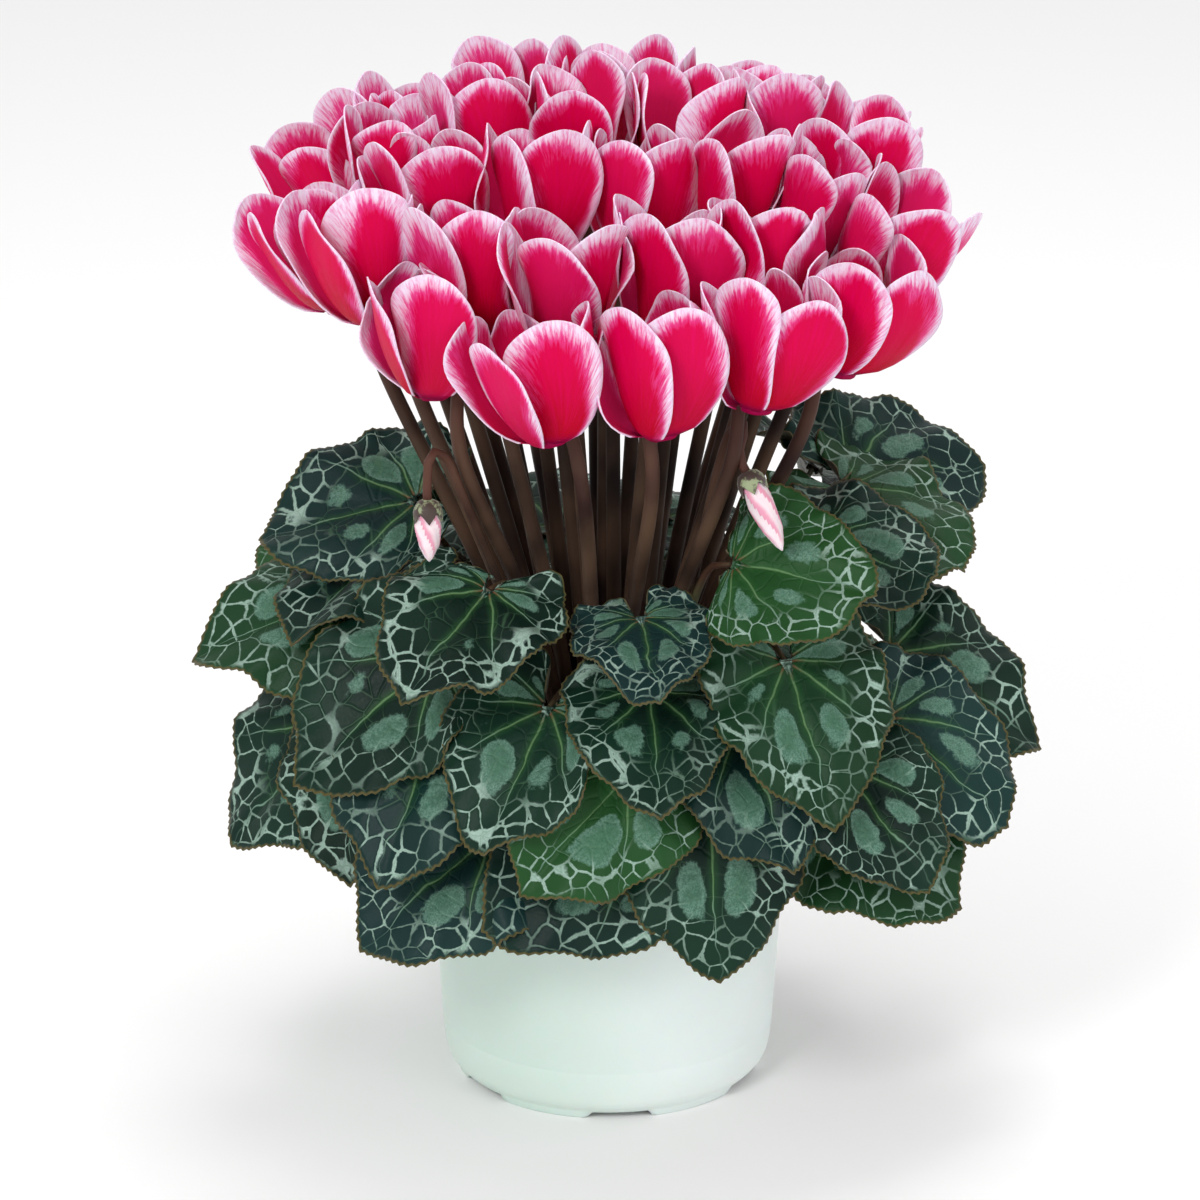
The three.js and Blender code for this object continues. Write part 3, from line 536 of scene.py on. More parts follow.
def lathe(profile, sides, change=None):
    turns = all_round(sides)
    points = np.array([[r * math.cos(a), r * math.sin(a), z] for r, z in profile for a in turns])
    if change is not None:
        points = change(points, np.tile(turns, len(profile)), np.repeat(np.arange(len(profile)), sides))
    return points, band_faces(len(profile), sides)


# Materials: arithmetic on a Value makes a Math node
class Value:
    def __init__(self, look, socket):
        self.look, self.socket = look, socket

    def __add__(self, other):
        return self.look.math("ADD", self, other)

    def __sub__(self, other):
        return self.look.math("SUBTRACT", self, other)

    def __rsub__(self, other):
        return self.look.math("SUBTRACT", other, self)

    def __mul__(self, other):
        return self.look.math("MULTIPLY", self, other)

    def __truediv__(self, other):
        return self.look.math("DIVIDE", self, other)

    def __pow__(self, other):
        return self.look.math("POWER", self, other)


class Look:
    def __init__(self, name):
        self.material = bpy.data.materials.new(name)
        self.material.use_nodes = True
        self.tree = self.material.node_tree
        self.tree.nodes.clear()

    def node(self, kind, inputs=None, **settings):
        made = self.tree.nodes.new(kind)
        for label, value in settings.items():
            setattr(made, label, value)
        for label, value in (inputs or {}).items():
            if isinstance(value, Value):
                self.tree.links.new(value.socket, made.inputs[label])
            else:
                made.inputs[label].default_value = value
        return made

    def add(self, kind, inputs=None, out=0, **settings):
        return Value(self, self.node(kind, inputs, **settings).outputs[out])

    def math(self, operation, *values):
        return self.add("ShaderNodeMath", dict(enumerate(values)), operation=operation)

    def ramp(self, value, low, high, to_low=0.0, to_high=1.0):
        return self.add("ShaderNodeMapRange", {0: value, 1: low, 2: high, 3: to_low, 4: to_high},
                        interpolation_type="SMOOTHSTEP")

    def mix(self, factor, a, b):
        a, b = ((*color, 1) if isinstance(color, tuple) else color for color in (a, b))
        return self.add("ShaderNodeMix", {0: factor, 6: a, 7: b}, out=2, data_type="RGBA")

    def fact(self, name, out="Fac"):
        return self.add("ShaderNodeAttribute", out=out, attribute_name=name, attribute_type="GEOMETRY")

    def split(self, vector):
        return [Value(self, part) for part in self.node("ShaderNodeSeparateXYZ", {0: vector}).outputs]

    def join(self, x, y, z=0.0):
        return self.add("ShaderNodeCombineXYZ", {0: x, 1: y, 2: z})

    def noise(self, vector, scale, detail=3.0, rough=0.5):
        return self.add("ShaderNodeTexNoise", {"Vector": vector, "Scale": scale, "Detail": detail,
                                               "Roughness": rough})

    def voronoi(self, vector, feature, scale=1.0, randomness=1.0):
        return self.add("ShaderNodeTexVoronoi", {"Vector": vector, "Scale": scale, "Randomness": randomness},
                        feature=feature)

    def place(self):
        return self.add("ShaderNodeTexCoord", out="Object")

    def bump(self, height, strength, distance):
        return self.add("ShaderNodeBump", {"Height": height, "Strength": strength, "Distance": distance})

    def finish(self, color, roughness, normal=None, **uniform):
        inputs = {"Base Color": color, "Roughness": roughness}
        inputs.update({label.replace("_", " "): value for label, value in uniform.items()})
        if normal is not None:
            inputs["Normal"] = normal
        self.node("ShaderNodeOutputMaterial", {0: self.add("ShaderNodeBsdfPrincipled", inputs)})
        return self.material


# The net of silver round dark cells, towards the leaf's margin
def leaf_net(look, x, y, seed, shifted, rim):
    drift = look.join(look.noise(shifted, 5.0, 1.0), look.noise(shifted, 6.0, 1.0))
    place = look.join(x * 8.6, y * 8.6, seed * 2.9)
    place = look.add("ShaderNodeVectorMath", {0: drift, 1: (0.7, 0.7, 0.0), 2: place},
                     operation="MULTIPLY_ADD")
    cells = look.voronoi(place, "DISTANCE_TO_EDGE", randomness=0.85)
    middles = look.voronoi(place, "F1", randomness=0.85)
    ragged = look.noise(shifted, 34.0, 3.0, 0.6) - 0.5
    wide = look.ramp(look.noise(shifted, 4.0, 1.0), 0.35, 0.7, 0.0, 0.04)
    net = look.ramp(cells + ragged * 0.11, wide + 0.045, wide * 0.8)
    net = look.math("MAXIMUM", net, look.ramp(middles + ragged * 0.2, 0.76, 0.86))
    net = net * (look.ramp(rim, 0.54, 0.76) * look.ramp(rim, 0.985, 0.93))
    return cells, net * look.ramp(look.noise(shifted, 2.6, 2.0), 0.36, 0.54, 0.3, 1.0)


# Silver islands between the main veins, half way out: how far from an island's middle, and how silver
def leaf_islands(look, seed, shifted, rim, angle, between):
    cloud = look.noise(shifted, 4.0, 1.0) - 0.5
    mottle = look.noise(shifted, 26.0, 4.0, 0.7) - 0.5
    aslant = ((1.0 - between / (VEIN_ANGLE / 2)) / 0.62) ** 2.0
    outward = look.math("ABSOLUTE", (rim - 0.48) / 0.19) ** 2.0
    gap = look.math("FLOOR", angle / VEIN_ANGLE)
    own = look.noise(look.join(gap * 3.3, seed * 1.7), 1.0, 1.0)
    apart = aslant + outward + cloud * 2.6 + mottle * 1.3 + look.ramp(own, 0.3, 0.7, -0.7, 0.9)
    return apart, look.ramp(apart, 1.0, 0.6) * look.ramp(mottle, -0.3, 0.1, 0.6, 1.0)


def leaf_look():
    look = Look("leaf")
    x, y, seed = look.split(look.fact("blade", "Vector"))
    rim, under = look.fact("rim"), look.fact("under")
    shifted = look.join(x, y, seed * 3.7)
    angle = look.math("ARCTAN2", y, x) + (look.noise(shifted, 3.0, 2.0) - 0.5) * 0.3
    reach = (x * x + y * y) ** 0.5
    between = look.math("PINGPONG", angle, VEIN_ANGLE / 2)
    aside = reach * look.math("SINE", between)
    main = look.ramp(aside, look.ramp(rim, 0.2, 0.8, 0.012, 0.006), 0.002)
    main = main * look.ramp(rim, 0.86, 0.7, 0.2, 1.0)
    cells, net = leaf_net(look, x, y, seed, shifted, rim)
    apart, island = leaf_islands(look, seed, shifted, rim, angle, between)
    tone = look.noise(look.place(), 14.0, 2.0)
    grain = look.noise(shifted, 60.0, 4.0, 0.7)
    flecks = look.noise(shifted, 95.0, 4.0, 0.75)
    each = look.math("FRACT", seed * 0.377)
    green = look.mix(look.ramp(tone, 0.3, 0.7), (0.0025, 0.0125, 0.009), (0.007, 0.031, 0.018))
    green = look.mix(look.ramp(each, 0.66, 0.9) * 0.6, green, (0.022, 0.1, 0.02))
    green = look.mix(look.ramp(each, 0.4, 0.0) * 0.6, green, (0.01, 0.038, 0.04))
    glow = look.ramp(rim, 0.75, 0.3) * look.ramp(aside, 0.05, 0.0)
    green = look.mix(glow * 0.35, green, (0.03, 0.12, 0.03))
    silver = look.mix(look.ramp(flecks, 0.35, 0.65), (0.07, 0.18, 0.125), (0.2, 0.36, 0.28))
    silver = look.mix(look.ramp(apart, 0.75, -0.4, 0.0, 0.7), silver, (0.06, 0.17, 0.1))
    color = look.mix(island * 0.78, green, silver)
    color = look.mix(net * 0.9, color, look.mix(grain, (0.2, 0.35, 0.28), (0.52, 0.68, 0.6)))
    fine = look.ramp(cells, 0.03, 0.0) * look.ramp(rim, 0.2, 0.45)
    color = look.mix(fine * 0.35, color, (0.08, 0.18, 0.09))
    veins = look.mix(look.ramp(reach, 0.02, 0.14), (0.2, 0.05, 0.03), (0.13, 0.26, 0.11))
    veins = look.mix(look.ramp(rim, 0.3, 0.7), veins, (0.2, 0.34, 0.26))
    color = look.mix(main * 0.75, color, veins)
    color = look.mix(look.ramp(rim, 0.975, 0.995), color, (0.1, 0.085, 0.03))
    pale = look.mix(main, look.mix(tone, (0.09, 0.12, 0.07), (0.12, 0.08, 0.07)), (0.18, 0.15, 0.11))
    color = look.mix(under, color, pale)
    height = grain * 0.3 - (main + look.ramp(cells, 0.12, 0.0) * 0.4)
    rough = look.ramp(grain, 0.2, 0.8, 0.3, 0.46)
    return look.finish(color, rough, look.bump(height, 0.6, 0.0007), Specular_IOR_Level=0.13)


# The white margin's width is in millimetres
def petal_look():
    look = Look("petal")
    s, u, seed = look.split(look.fact("petal", "Vector"))
    rim, under, fibre = look.fact("rim"), look.fact("under"), look.fact("fibre")
    streak = look.ramp(look.noise(look.join(fibre, s * 5.0, seed * 7.3), 1.7, 4.0, 0.65), 0.3, 0.7)
    broad = look.noise(look.join(u, s * 1.8, seed * 1.3), 1.1, 1.0)
    side = look.ramp(u * (look.math("FRACT", seed * 0.61) - 0.5), 0.08, 0.36)
    pale = look.math("FRACT", seed * 0.754)
    width = look.ramp(broad, 0.35, 0.7, 1.4, 5.2) + side * 4.6 + look.ramp(s, 0.7, 1.0, 0.0, 1.2)
    width = width * look.ramp(pale, 0.72, 0.95, 1.0, 2.1) * look.ramp(s, 0.05, 0.5, 0.3, 1.0)
    inside = rim / (width * look.ramp(streak, 0.0, 1.0, 0.65, 1.15))
    pink = look.ramp(inside, 2.0, 0.5)
    white = look.ramp(inside, 1.05, 0.15) * look.ramp(streak, 0.0, 0.6, 0.6, 1.0)
    white = look.math("MAXIMUM", white, look.ramp(rim, 0.85, 0.45))
    vein = look.noise(look.join(fibre * 0.8, s * 1.5, seed), 1.0, 4.0, 0.7)
    each = look.math("FRACT", seed * 0.377)
    red = look.mix(look.ramp(s, 0.1, 0.75), (0.45, 0.0, 0.014), (0.63, 0.0, 0.06))
    red = look.mix(look.ramp(vein, 0.4, 0.75) * 0.4, red, (0.7, 0.0, 0.12))
    red = look.mix(look.ramp(each, 0.5, 1.0) * 0.3, red, (0.72, 0.03, 0.24))
    red = look.mix(look.ramp(s, 0.14, 0.0), red, (0.3, 0.0, 0.05))
    red = look.mix(under * 0.2, red, (0.76, 0.03, 0.2))
    color = look.mix(pink * 0.75, red, (0.78, 0.08, 0.34))
    color = look.mix(white, color, look.mix(streak, (0.8, 0.5, 0.72), (0.85, 0.78, 0.9)))
    height = vein * 0.8 + streak * 0.2
    return look.finish(color, 0.5, look.bump(height, 0.35, 0.0004), Specular_IOR_Level=0.06,
                       Subsurface_Weight=0.08, Subsurface_Scale=0.002)


def stalk_look():
    look = Look("stalk")
    along, leafy = look.fact("along"), look.fact("leafy")
    spot = look.noise(look.place(), 260.0, 3.0)
    patch = look.noise(look.place(), 30.0, 2.0)
    brown = look.mix(look.ramp(patch, 0.3, 0.7), (0.012, 0.006, 0.005), (0.095, 0.055, 0.034))
    brown = look.mix(look.ramp(along, 0.6, 0.95) * 0.4, brown, (0.12, 0.035, 0.03))
    green = look.mix(look.ramp(patch, 0.35, 0.65), (0.07, 0.03, 0.02), (0.08, 0.08, 0.036))
    color = look.mix(leafy, brown, green)
    return look.finish(color, 0.5, look.bump(spot, 0.35, 0.0003), Specular_IOR_Level=0.14)


def calyx_look():
    look = Look("calyx")
    patch = look.noise(look.place(), 220.0, 3.0, 0.6)
    color = look.mix(look.ramp(patch, 0.48, 0.58), (0.05, 0.03, 0.022), (0.3, 0.36, 0.2))
    return look.finish(color, 0.6, look.bump(patch, 0.3, 0.0003), Sheen_Weight=0.2)


def bud_look():
    look = Look("bud")
    furl, along = look.fact("furl"), look.fact("along")
    cloud = look.noise(look.place(), 160.0, 3.0) - 0.5
    pink = look.ramp(furl + cloud * 0.5, 0.45, 0.8) * look.ramp(along, 1.0, 0.7)
    color = look.mix(pink * 0.7, (0.88, 0.74, 0.78), (0.72, 0.14, 0.3))
    return look.finish(color, 0.45, Subsurface_Weight=0.1, Subsurface_Scale=0.003)


def pot_look():
    look = Look("pot_plastic")
    place = look.place()
    x, _, z = look.split(place)
    cloud = look.noise(place, 18.0, 2.0)
    color = look.mix(look.ramp(cloud, 0.35, 0.7), (0.82, 0.87, 0.84), (0.88, 0.91, 0.89))
    # Painted shade: the pot's left side (x below zero) is tinted darker green, standing in for the shade the
    # leaves cast there
    color = look.mix(look.ramp(x, 0.04, -0.04), color, (0.65, 0.765, 0.695))
    dirt = look.ramp(look.voronoi(place, "F1", 95.0), 0.13, 0.07)
    dirt = dirt * look.ramp(look.noise(place, 26.0, 1.0), 0.56, 0.64) * look.ramp(z, 0.014, 0.004)
    color = look.mix(dirt * 0.9, color, (0.07, 0.045, 0.03))
    rough = look.ramp(cloud, 0.2, 0.8, 0.38, 0.5)
    return look.finish(color, rough, look.bump(look.noise(place, 420.0, 2.0), 0.06, 0.0002),
                       Subsurface_Weight=0.2, Subsurface_Scale=0.01)


def soil_look():
    look = Look("soil")
    crumbs = look.noise(look.place(), 420.0, 4.0, 0.7)
    color = look.mix(look.ramp(crumbs, 0.35, 0.7), (0.012, 0.008, 0.006), (0.07, 0.045, 0.03))
    return look.finish(color, 0.95, look.bump(crumbs, 0.8, 0.001))


LOOKS = {"leaf": leaf_look(), "petal": petal_look(), "stalk": stalk_look(), "calyx": calyx_look(),
         "bud": bud_look(), "pot_plastic": pot_look(), "soil": soil_look()}
numbered = "{}_{:02d}".format


def keep(name, parts, slot, *nodes, look=None):
    obj = piece(name, *merged(parts), LOOKS[look or slot])
    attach(obj, "root")
    if nodes:
        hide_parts(*nodes)


# A petal's grid: s runs along it, u across it, both closer together towards the margin
rows = np.sin(np.pi / 2 * np.linspace(0, 1, PETAL_ROWS + 1))
even = np.linspace(-1, 1, PETAL_COLUMNS + 1)
columns = np.sin(np.pi / 2 * even) * 0.35 + even * 0.65
grid_s, grid_u = (a.ravel() for a in np.meshgrid(rows, columns, indexing="ij"))
grid_width = np.maximum(petal_half_width(grid_s) * FULLER, 0.4)
grid = np.arange(len(grid_s)).reshape(PETAL_ROWS + 1, -1)
petal_quads = np.stack([grid[:-1, :-1], grid[:-1, 1:], grid[1:, 1:], grid[1:, :-1]], 2).reshape(-1, 4)
petal_edge = [*grid[0], *grid[1:, -1], *grid[-1, -2::-1], *grid[-2:0:-1, 0]]
line = np.linspace(0, 1, 160)
margin = np.stack([petal_half_width(line) * FULLER, line * FLAT_LENGTH], 1)
margin = np.concatenate([margin, margin * [-1, 1]])
flat_grid = np.stack([grid_width * grid_u, grid_s * FLAT_LENGTH], 1)
grid_rim = np.linalg.norm(flat_grid[:, None] - margin[None], axis=2).min(1)
grid_rim = np.where(grid_s < 0.02, 3, grid_rim)
grid_fibre = 122 * flat_grid[:, 0] / (flat_grid[:, 1] + 4) ** 1.4
LEFT, RIGHT, MIDDLE = [0, 2, 5], [1, 4, 7], [[0, 1], [3, 3], [6, 6]]
row_s = ctrl_s[LEFT]
row_width = petal_half_width(row_s)[:, None]


def held(vectors, most):
    return vectors * np.minimum(1, most / np.maximum(1e-9, np.linalg.norm(vectors, axis=1, keepdims=True)))


# Moves of the few coarse points, spread over the petal: a shift, a slant and a bow for each row
def petal_moves(moves):
    middle = np.array([moves[pair].mean(0) for pair in MIDDLE])
    slant = held((moves[RIGHT] - moves[LEFT]) / 2 / row_width, 0.5)
    bow = held((moves[RIGHT] + moves[LEFT]) / 2 - middle, 4) / row_width ** 2

    def along_rows(values, s):
        return np.stack([np.polyval(np.polyfit(row_s, column, 2), s) for column in values.T], 1)
    across = (grid_width * grid_u)[:, None]
    low = np.minimum(grid_s, 0.9)
    return along_rows(middle, grid_s) + along_rows(slant, low) * across + along_rows(bow, low) * across ** 2


def petal_grid(i, k, moves):
    f = frames[i]
    seed = i * 5 + k
    width = grid_width * (0.93 + 0.18 * chance(seed, 35))
    across = grid_width * grid_u / grid_width.max()
    curl = (chance(seed, 31) - 0.5) * 5.0 * grid_s ** 3
    ripple = 1.5 * np.sin(8 * grid_s + 3 * grid_u + 6 * chance(seed, 32)) * across ** 2 * grid_s
    twist = (chance(seed, 34) - 0.5) * 7.0 * across * grid_s ** 2
    lap = 1.6 * across * np.sin(np.pi * grid_s)
    groove = -0.5 * np.exp(-(grid_u / 0.12) ** 2) * np.sin(np.pi * grid_s)
    surface = petal_surface(f, petal_angle(i, k), grid_s, width * grid_u, opening(f, i, k),
                            tall(f, i, k) * TALLER, curl + ripple + twist + groove + lap)
    return surface + petal_moves(moves)


# Of two neighbours in a bloom, one stays outside the other all along, so that their edges don't cross
def overlapped(f, surfaces):
    directions = np.stack([f["to_stalk"], f["side"], f["axis"]], 1)
    grids = []
    for surface, middle in zip(surfaces, np.radians(PETAL_ANGLES)):
        x, y, height = ((surface - f["nose"]) @ directions).T
        turn = (np.arctan2(y, x) - middle + math.pi) % (2 * math.pi) - math.pi + middle
        grids.append([values.reshape(PETAL_ROWS + 1, -1) for values in (turn, np.hypot(x, y), height)])
    u = grid_u.reshape(PETAL_ROWS + 1, -1)
    for (turn, out, _), (next_turn, next_out, _) in zip(grids, grids[1:]):
        gaps = np.array([[out[row, -1] - np.interp(turn[row, -1], next_turn[row], next_out[row]),
                          np.interp(next_turn[row, 0], turn[row], out[row]) - next_out[row, 0]]
                         for row in range(PETAL_ROWS + 1)])
        laps = (turn[:, -1] > next_turn[:, 0]) & (gaps[:, 0] < LAP_MOST)
        order = 1 if not laps.any() or gaps[laps].mean() > 0 else -1
        short = np.where(laps, np.maximum(0, LAP_GAP - (order * gaps).min(1)), 0)
        short = np.convolve(np.pad(short, LAP_ROWS // 2, "edge"), np.ones(LAP_ROWS) / LAP_ROWS, "valid")
        push = LAP_PUSH * order * short[:, None]
        out += push * np.maximum(0, u) ** 1.2
        next_out -= push * np.maximum(0, -u) ** 1.2
    return [in_bloom(f, out * np.cos(turn), out * np.sin(turn), height).reshape(-1, 3)
            for turn, out, height in grids]


def petal_sheet(seed, surface):
    facts = {"petal": np.stack([grid_s, grid_u, np.full(len(grid_s), float(seed))], 1), "rim": grid_rim,
             "fibre": grid_fibre}
    return thick_sheet(surface, petal_quads, petal_edge, PETAL_SKIN, facts)


def nose_part(f, seed):
    profile = [[0.5, 11.5], [3.5, 11.8], [5.2, 10.5], [5.8, 7], [5.9, 4], [5.6, 2], [5.0, 0.7], [4.2, 0.1],
               [3.7, 0.8], [3.5, 4], [0.6, 5]]

    def lobed(points, turns, _):
        lobes = 1 + 0.05 * np.cos(5 * (turns - math.radians(PETAL_ANGLES[0])))
        return points * np.stack([lobes, lobes, np.ones(len(turns))], 1)
    points, faces = lathe(profile, 30, lobed)
    none = np.zeros(len(points))
    facts = {"petal": np.stack([none, none, none + seed], 1), "rim": none + 6, "under": none, "fibre": none}
    return in_bloom(f, *points.T), faces, facts


for node, group in enumerate(groups):
    parts = []
    for i in [i for i, n in enumerate(bloom_node) if n == node]:
        moves = settled_petals(i)
        surfaces = overlapped(frames[i], [petal_grid(i, k, moves[k]) for k in range(5)])
        parts += [petal_sheet(i * 5 + k, surface) for k, surface in enumerate(surfaces)]
        parts.append(nose_part(frames[i], float(i)))
    name = numbered("bloom", node + 1) if len(group) == 1 else numbered("bloom_group", node + 1 - len(BLOOMS))
    keep(name + "_petals", parts, "petal", name)

# A blade's plan: rings about its middle, the last one toothed
half_line = spaced(FINE_OUTLINE, count=600)
half_lengths = lengths_along(half_line)
stops = np.linspace(0, half_lengths[-1], BLADE_TURNS // 2 + 1)
half_outline = np.stack([np.interp(stops, half_lengths, column) for column in half_line.T], 1)
fine_outline = np.concatenate([half_outline, half_outline[::-1][:-1] * [1, -1]])
sides = len(fine_outline)
outward = fine_outline - blade_centre
outward /= np.linalg.norm(outward, axis=1, keepdims=True)
toothed_here = (np.arange(sides) % 2 == 0) & (fine_outline[:, 0] > -0.3)
toothed = fine_outline + outward * (TOOTH * toothed_here)[:, None]
blade_plan = [[blade_centre]]
for level in BLADE_RINGS:
    blade_plan.append(blade_centre + ((toothed if level == 1 else fine_outline) - blade_centre) * level)
blade_plan = np.concatenate(blade_plan)
blade_rim = np.concatenate([[0], np.repeat(BLADE_RINGS, sides)])
starts = [1 + i * sides for i in range(len(BLADE_RINGS))]
blade_quads = [[a + k, b + k, b + (k + 1) % sides, a + (k + 1) % sides]
               for a, b in zip(starts, starts[1:]) for k in range(sides)]
blade_fill = [[0, 1 + k, 1 + (k + 1) % sides] for k in range(sides)]
blade_edge = [starts[-1] + k for k in range(sides)]


def blade_part(i, leaf):
    around = np.arctan2(*(blade_plan - blade_centre).T[::-1])
    waves = 0.035 * np.sin(6 * around + 6.3 * chance(i, 43))
    waves += 0.02 * np.sin(11 * around + 6.3 * chance(i, 44))
    plan = blade_centre + (blade_plan - blade_centre) * (1 + blade_rim ** 2 * waves)[:, None]
    x, y = plan.T
    turn = np.arctan2(y, x)
    vein = np.abs((turn / VEIN_ANGLE + 0.5) % 1 - 0.5) * 2
    quilt = 0.022 * (vein - 0.5) * np.minimum(1, 3 * np.hypot(x, y)) * np.sin(np.pi * blade_rim ** 1.5)
    frill = 0.036 * np.sin(9 * turn + 5 * chance(i, 41)) * blade_rim ** 4
    frill += 0.012 * np.sin(23 * turn + 7 * chance(i, 42)) * blade_rim ** 6
    surface = blade_surface(leaf, i, x, y, quilt + frill)
    surface = surface + spread_moves(plan_of(leaf), blades[i] - free_blades[i], plan)
    facts = {"blade": np.stack([x, y, np.full(len(x), float(i))], 1), "rim": blade_rim}
    return thick_sheet(surface, blade_quads, blade_edge, BLADE_SKIN, facts, blade_fill)


for node, group in enumerate(leaf_groups):
    parts = [blade_part(i, leaf) for i, leaf in enumerate(leaves) if leaf["node"] == node]
    name = numbered("leaf", node + 1) if len(group) == 1 else numbered("leaf_fan", node + 1 - len(LEAVES))
    keep(name + "_blade", parts, "leaf", name)


# Stalks and tuber: each taper has places along a stalk, and the radii there
FLOWER_TAPER = [[0, 0.1, 0.8, 0.93, 1], [2.9, 2.8, 2.45, 2.0, 1.5]]
BUD_TAPER = [[0, 1], [1.6, 1.6]]
LEAF_TAPER = [[0, 0.85, 1], [1.7, 1.45, 0.9]]


def tapered(points, steps, taper, sides, leafy):
    path = spaced(points, count=steps)
    return tube(path, np.interp(np.linspace(0, 1, len(path)), *taper), sides, leafy)


parts = [tapered(points, 44, FLOWER_TAPER, 12, 0) for points in flower_stalks]
parts += [tapered(points, 40, BUD_TAPER, 10, 0) for points in bud_stalks]
parts += [tapered(points, 24, LEAF_TAPER, 8, 1) for points in leaf_stalks + side_stalks]
wide = TUBER_RADIUS
tuber_profile = [
    [NEAR_AXIS, TUBER_BASE], [wide - 7, TUBER_BASE], [wide - 1.5, TUBER_BASE + 4], [wide, TUBER_BASE + 10],
    [wide, SOIL_TOP - 3], [wide - 1, SOIL_TOP], [wide - 4, TUBER_TOP - 1], [wide - 10, TUBER_TOP],
    [NEAR_AXIS, TUBER_TOP],
]
points, faces = lathe(tuber_profile, 40)
parts.append((points, faces, {"along": np.zeros(len(points)), "leafy": np.zeros(len(points))}))
keep("stalks", parts, "stalk", "tuber_and_stalks")


def square_to(down):
    side = unit(np.cross(down, [0.2, 1, 0.3]))
    return side, np.cross(down, side)


# Calyx: a cup with five pointed lobes, from the stalk's end down over the petals' root
CALYX_RINGS = [(-0.5, 0.32, 0), (-0.3, 0.75, 0), (0.1, 1, 0), (0.5, 1.08, 0), (0.8, 1.06, 0.45)]


def calyx(end, down, size):
    down = unit(down)
    turns = all_round(CALYX_SIDES)
    peak = np.abs(((turns * 5 / (2 * math.pi)) % 1) - 0.5) * 2
    rings = []
    for level, radius, lobe in CALYX_RINGS:
        z = (level + lobe * (peak - 0.5) * 2) * size
        rings.append(end + z[:, None] * down + radius * size * circle(turns, *square_to(down)))
    points = np.concatenate(rings)
    edge = list(range(len(points) - CALYX_SIDES, len(points)))
    facts = {"along": np.ones(len(points))}
    return thick_sheet(points, band_faces(len(rings), CALYX_SIDES), edge, CALYX_SKIN, facts)


parts = [calyx(f["nose"] + f["axis"] * 13.5, -f["axis"], 3.6) for f in frames]
parts += [calyx(np.array(b["at"], float), b["lean"], 4.4) for b in BUDS]
keep("calyxes", parts, "stalk", look="calyx")

# Buds: petals furled in a spiral
for i, b in enumerate(BUDS):
    down = unit(b["lean"])
    turns = all_round(BUD_SIDES)
    points, furls = [], []
    places = np.arange(BUD_RINGS) / (BUD_RINGS - 1)
    for t in places:
        ridge = (turns * 5 / (2 * math.pi) + 1.6 * t) % 1
        radius = BUD_RADIUS * np.interp(t, [0, 0.15, 0.36, 0.72, 0.93, 1], [0.66, 0.86, 1, 0.75, 0.3, 0.05])
        out = radius * (0.9 + 0.14 * ridge[:, None]) * circle(turns, *square_to(down))
        points.append(b["at"] + down * (t * b["length"]) + out)
        furls.append(ridge)
    facts = {"furl": np.concatenate(furls), "along": np.repeat(places, BUD_SIDES)}
    faces = band_faces(BUD_RINGS, BUD_SIDES) + end_faces(BUD_RINGS, BUD_SIDES)
    name = numbered("bud", i + 1)
    keep(name + "_petals", [(np.concatenate(points), faces, facts)], "bud", name)

# Pot
base, inner_foot = POT_FLOOR - 2, 14
foot, rim = POT_FOOT_RADIUS, POT_RIM_RADIUS
FOOT_ROWS, NOTCH_SLOPE, FIRST_NOTCH = (4, 8), 2.2, -math.pi / 2 + 0.08
NOTCH_HEIGHT = POT_FOOT_HEIGHT - 0.4
pot_profile = [
    [NEAR_AXIS, 0], [PAD_RADIUS, 0], [PAD_RADIUS + 2, base], [foot - 2.6, base], [foot - 2.3, 0.3],
    [foot - 1.9, 0], [foot - 0.3, 0], [foot, 0.35], [foot + 0.5, NOTCH_HEIGHT], [foot + 0.7, POT_FOOT_HEIGHT],
    [foot + 1.8, 4], [foot + 3.0, 5.6], [foot + 3.8, 7.6], [foot + 4.3, 10], [foot + 4.8, 14],
    [foot + 5.15, 18.6], [foot + 5.1, 18.9], [foot + 5.1, 19.3], [foot + 5.2, 19.6],
    [rim - 1.6, POT_HEIGHT - 9], [rim - 0.3, POT_HEIGHT - 8.3], [rim, POT_HEIGHT - 7.8],
    [rim, POT_HEIGHT - 0.8], [rim - 0.6, POT_HEIGHT], [rim - 2.4, POT_HEIGHT], [rim - 3, POT_HEIGHT - 0.6],
    [foot + 3, inner_foot], [foot + 0.5, POT_FLOOR], [NEAR_AXIS, POT_FLOOR],
]


def notched(points, turns, rows_at):
    step = 2 * math.pi / FOOT_NOTCHES
    off = np.abs((turns - FIRST_NOTCH + step / 2) % step - step / 2) * foot
    lift = np.clip((FOOT_NOTCH_WIDTH / 2 - off) / NOTCH_SLOPE, 0, 1) * NOTCH_HEIGHT
    at_foot = (rows_at >= FOOT_ROWS[0]) & (rows_at <= FOOT_ROWS[1])
    points[:, 2] = np.where(at_foot, np.maximum(points[:, 2], lift), points[:, 2])
    return points


keep("pot_body", [(*lathe(pot_profile, 192, notched), {})], "pot_plastic", "pot")

# Soil: a rough top with crumbs
rng = np.random.default_rng(7)
pocket = TUBER_RADIUS + GAP
SOIL_EDGE, TOP_RINGS, CRUMBS = 59, 16, 420
soil_side = [[NEAR_AXIS, POT_FLOOR + GAP], [foot - 0.1, POT_FLOOR + GAP], [foot + 2.4, inner_foot],
             [60.4, 93.6]]
soil_top = [[radius, SOIL_TOP - 0.6] for radius in np.linspace(SOIL_EDGE, pocket + 0.5, TOP_RINGS)]
soil_pocket = [[pocket, 93], [pocket, TUBER_BASE + 5], [pocket - 6, TUBER_BASE - GAP],
               [NEAR_AXIS, TUBER_BASE - GAP]]


def crumbled(points, _, rows_at):
    on_top = (rows_at >= len(soil_side)) & (rows_at < len(soil_side) + TOP_RINGS)
    points[:, 2] += np.where(on_top, rng.uniform(-0.9, 1.1, len(points)), 0)
    return points


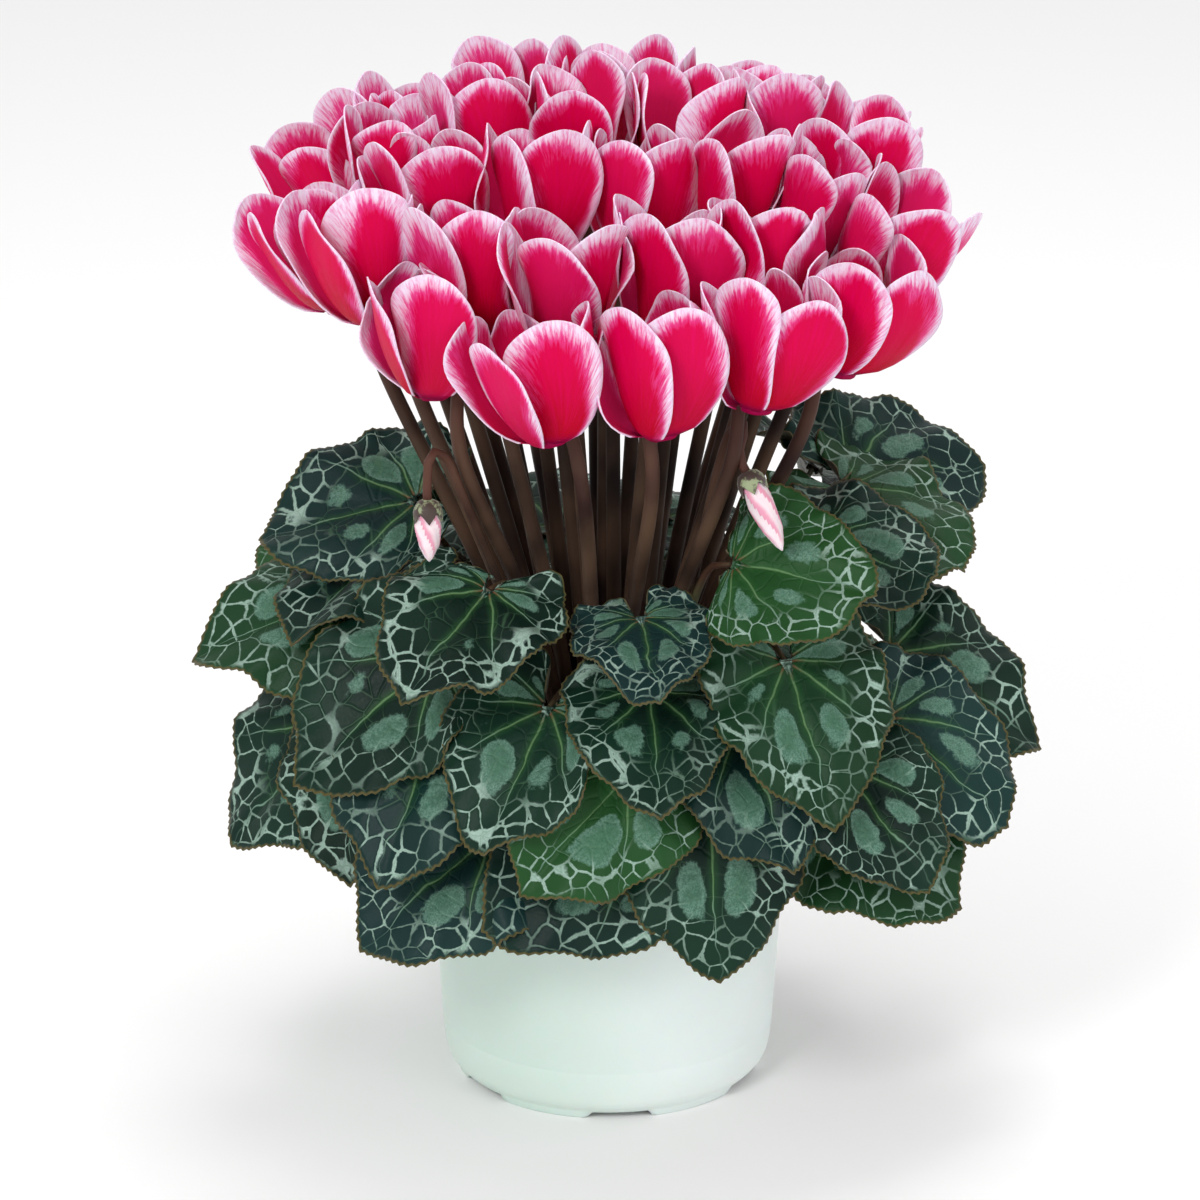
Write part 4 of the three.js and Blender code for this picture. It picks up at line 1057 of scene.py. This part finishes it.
parts = [(*lathe(soil_side + soil_top + soil_pocket, 90, crumbled), {})]
gold = (1 + 5 ** 0.5) / 2
ball = np.array([unit(v) for a in (-1, 1) for b in (-gold, gold) for v in ([0, a, b], [a, b, 0], [b, 0, a])])
near = np.linalg.norm(ball[:, None] - ball[None], axis=2) < 1.1
hull = [[i, j, k] for i in range(12) for j in range(i + 1, 12) for k in range(j + 1, 12)
        if near[i, j] and near[j, k] and near[i, k]]
for _ in range(CRUMBS):
    centre = ring(rng.uniform(pocket + 2, SOIL_EDGE - 1), rng.uniform(0, 2 * math.pi), SOIL_TOP - 0.2)
    size = rng.uniform(0.5, 1.7)
    parts.append((centre + ball * size * rng.uniform(0.6, 1.2, (12, 3)), hull, {}))
keep("soil_crumbs", parts, "soil", "soil")

# Floor, light and camera
FLOOR_REACH, FLOOR_LEVEL = 4000, -0.05
floor_look = Look("floor").finish((0.93, 0.93, 0.93, 1), 0.9)
corners = [[x * FLOOR_REACH, y * FLOOR_REACH, FLOOR_LEVEL] for x, y in ((-1, -1), (1, -1), (1, 1), (-1, 1))]
floor = piece("floor", corners, [[0, 1, 2, 3]], {}, floor_look)

world = bpy.data.worlds.new("studio")
bpy.context.scene.world = world
world.use_nodes = True
world.node_tree.nodes["Background"].inputs[0].default_value = (1, 1, 1, 1)
world.node_tree.nodes["Background"].inputs[1].default_value = 0.78


def aimed(name, data, place, aim):
    obj = bpy.data.objects.new(name, data)
    obj.location = place
    obj.rotation_euler = (Vector(aim) - obj.location).to_track_quat("-Z", "Y").to_euler()
    bpy.context.scene.collection.objects.link(obj)
    return obj


def lamp(name, place, aim, size, power):
    data = bpy.data.lights.new(name, "AREA")
    data.shape, data.size, data.energy = "DISK", size, power
    aimed(name, data, place, aim)


lamp("key", (-0.8, -1.5, 1.3), (0, 0, 0.2), 0.6, 13)
lamp("fill", (1.3, -1.2, 0.8), (0, 0, 0.2), 0.9, 4)
lamp("top", (0.1, 0.4, 1.8), (0, 0, 0.25), 0.7, 10)

camera = bpy.data.cameras.new("camera")
camera.lens, camera.sensor_width = 172.6, 36
bpy.context.scene.camera = aimed("camera", camera, (-0.0027, -1.8794, 0.8573), (-0.0027, 0, 0.1733))
bpy.context.scene.view_settings.view_transform = "Standard"
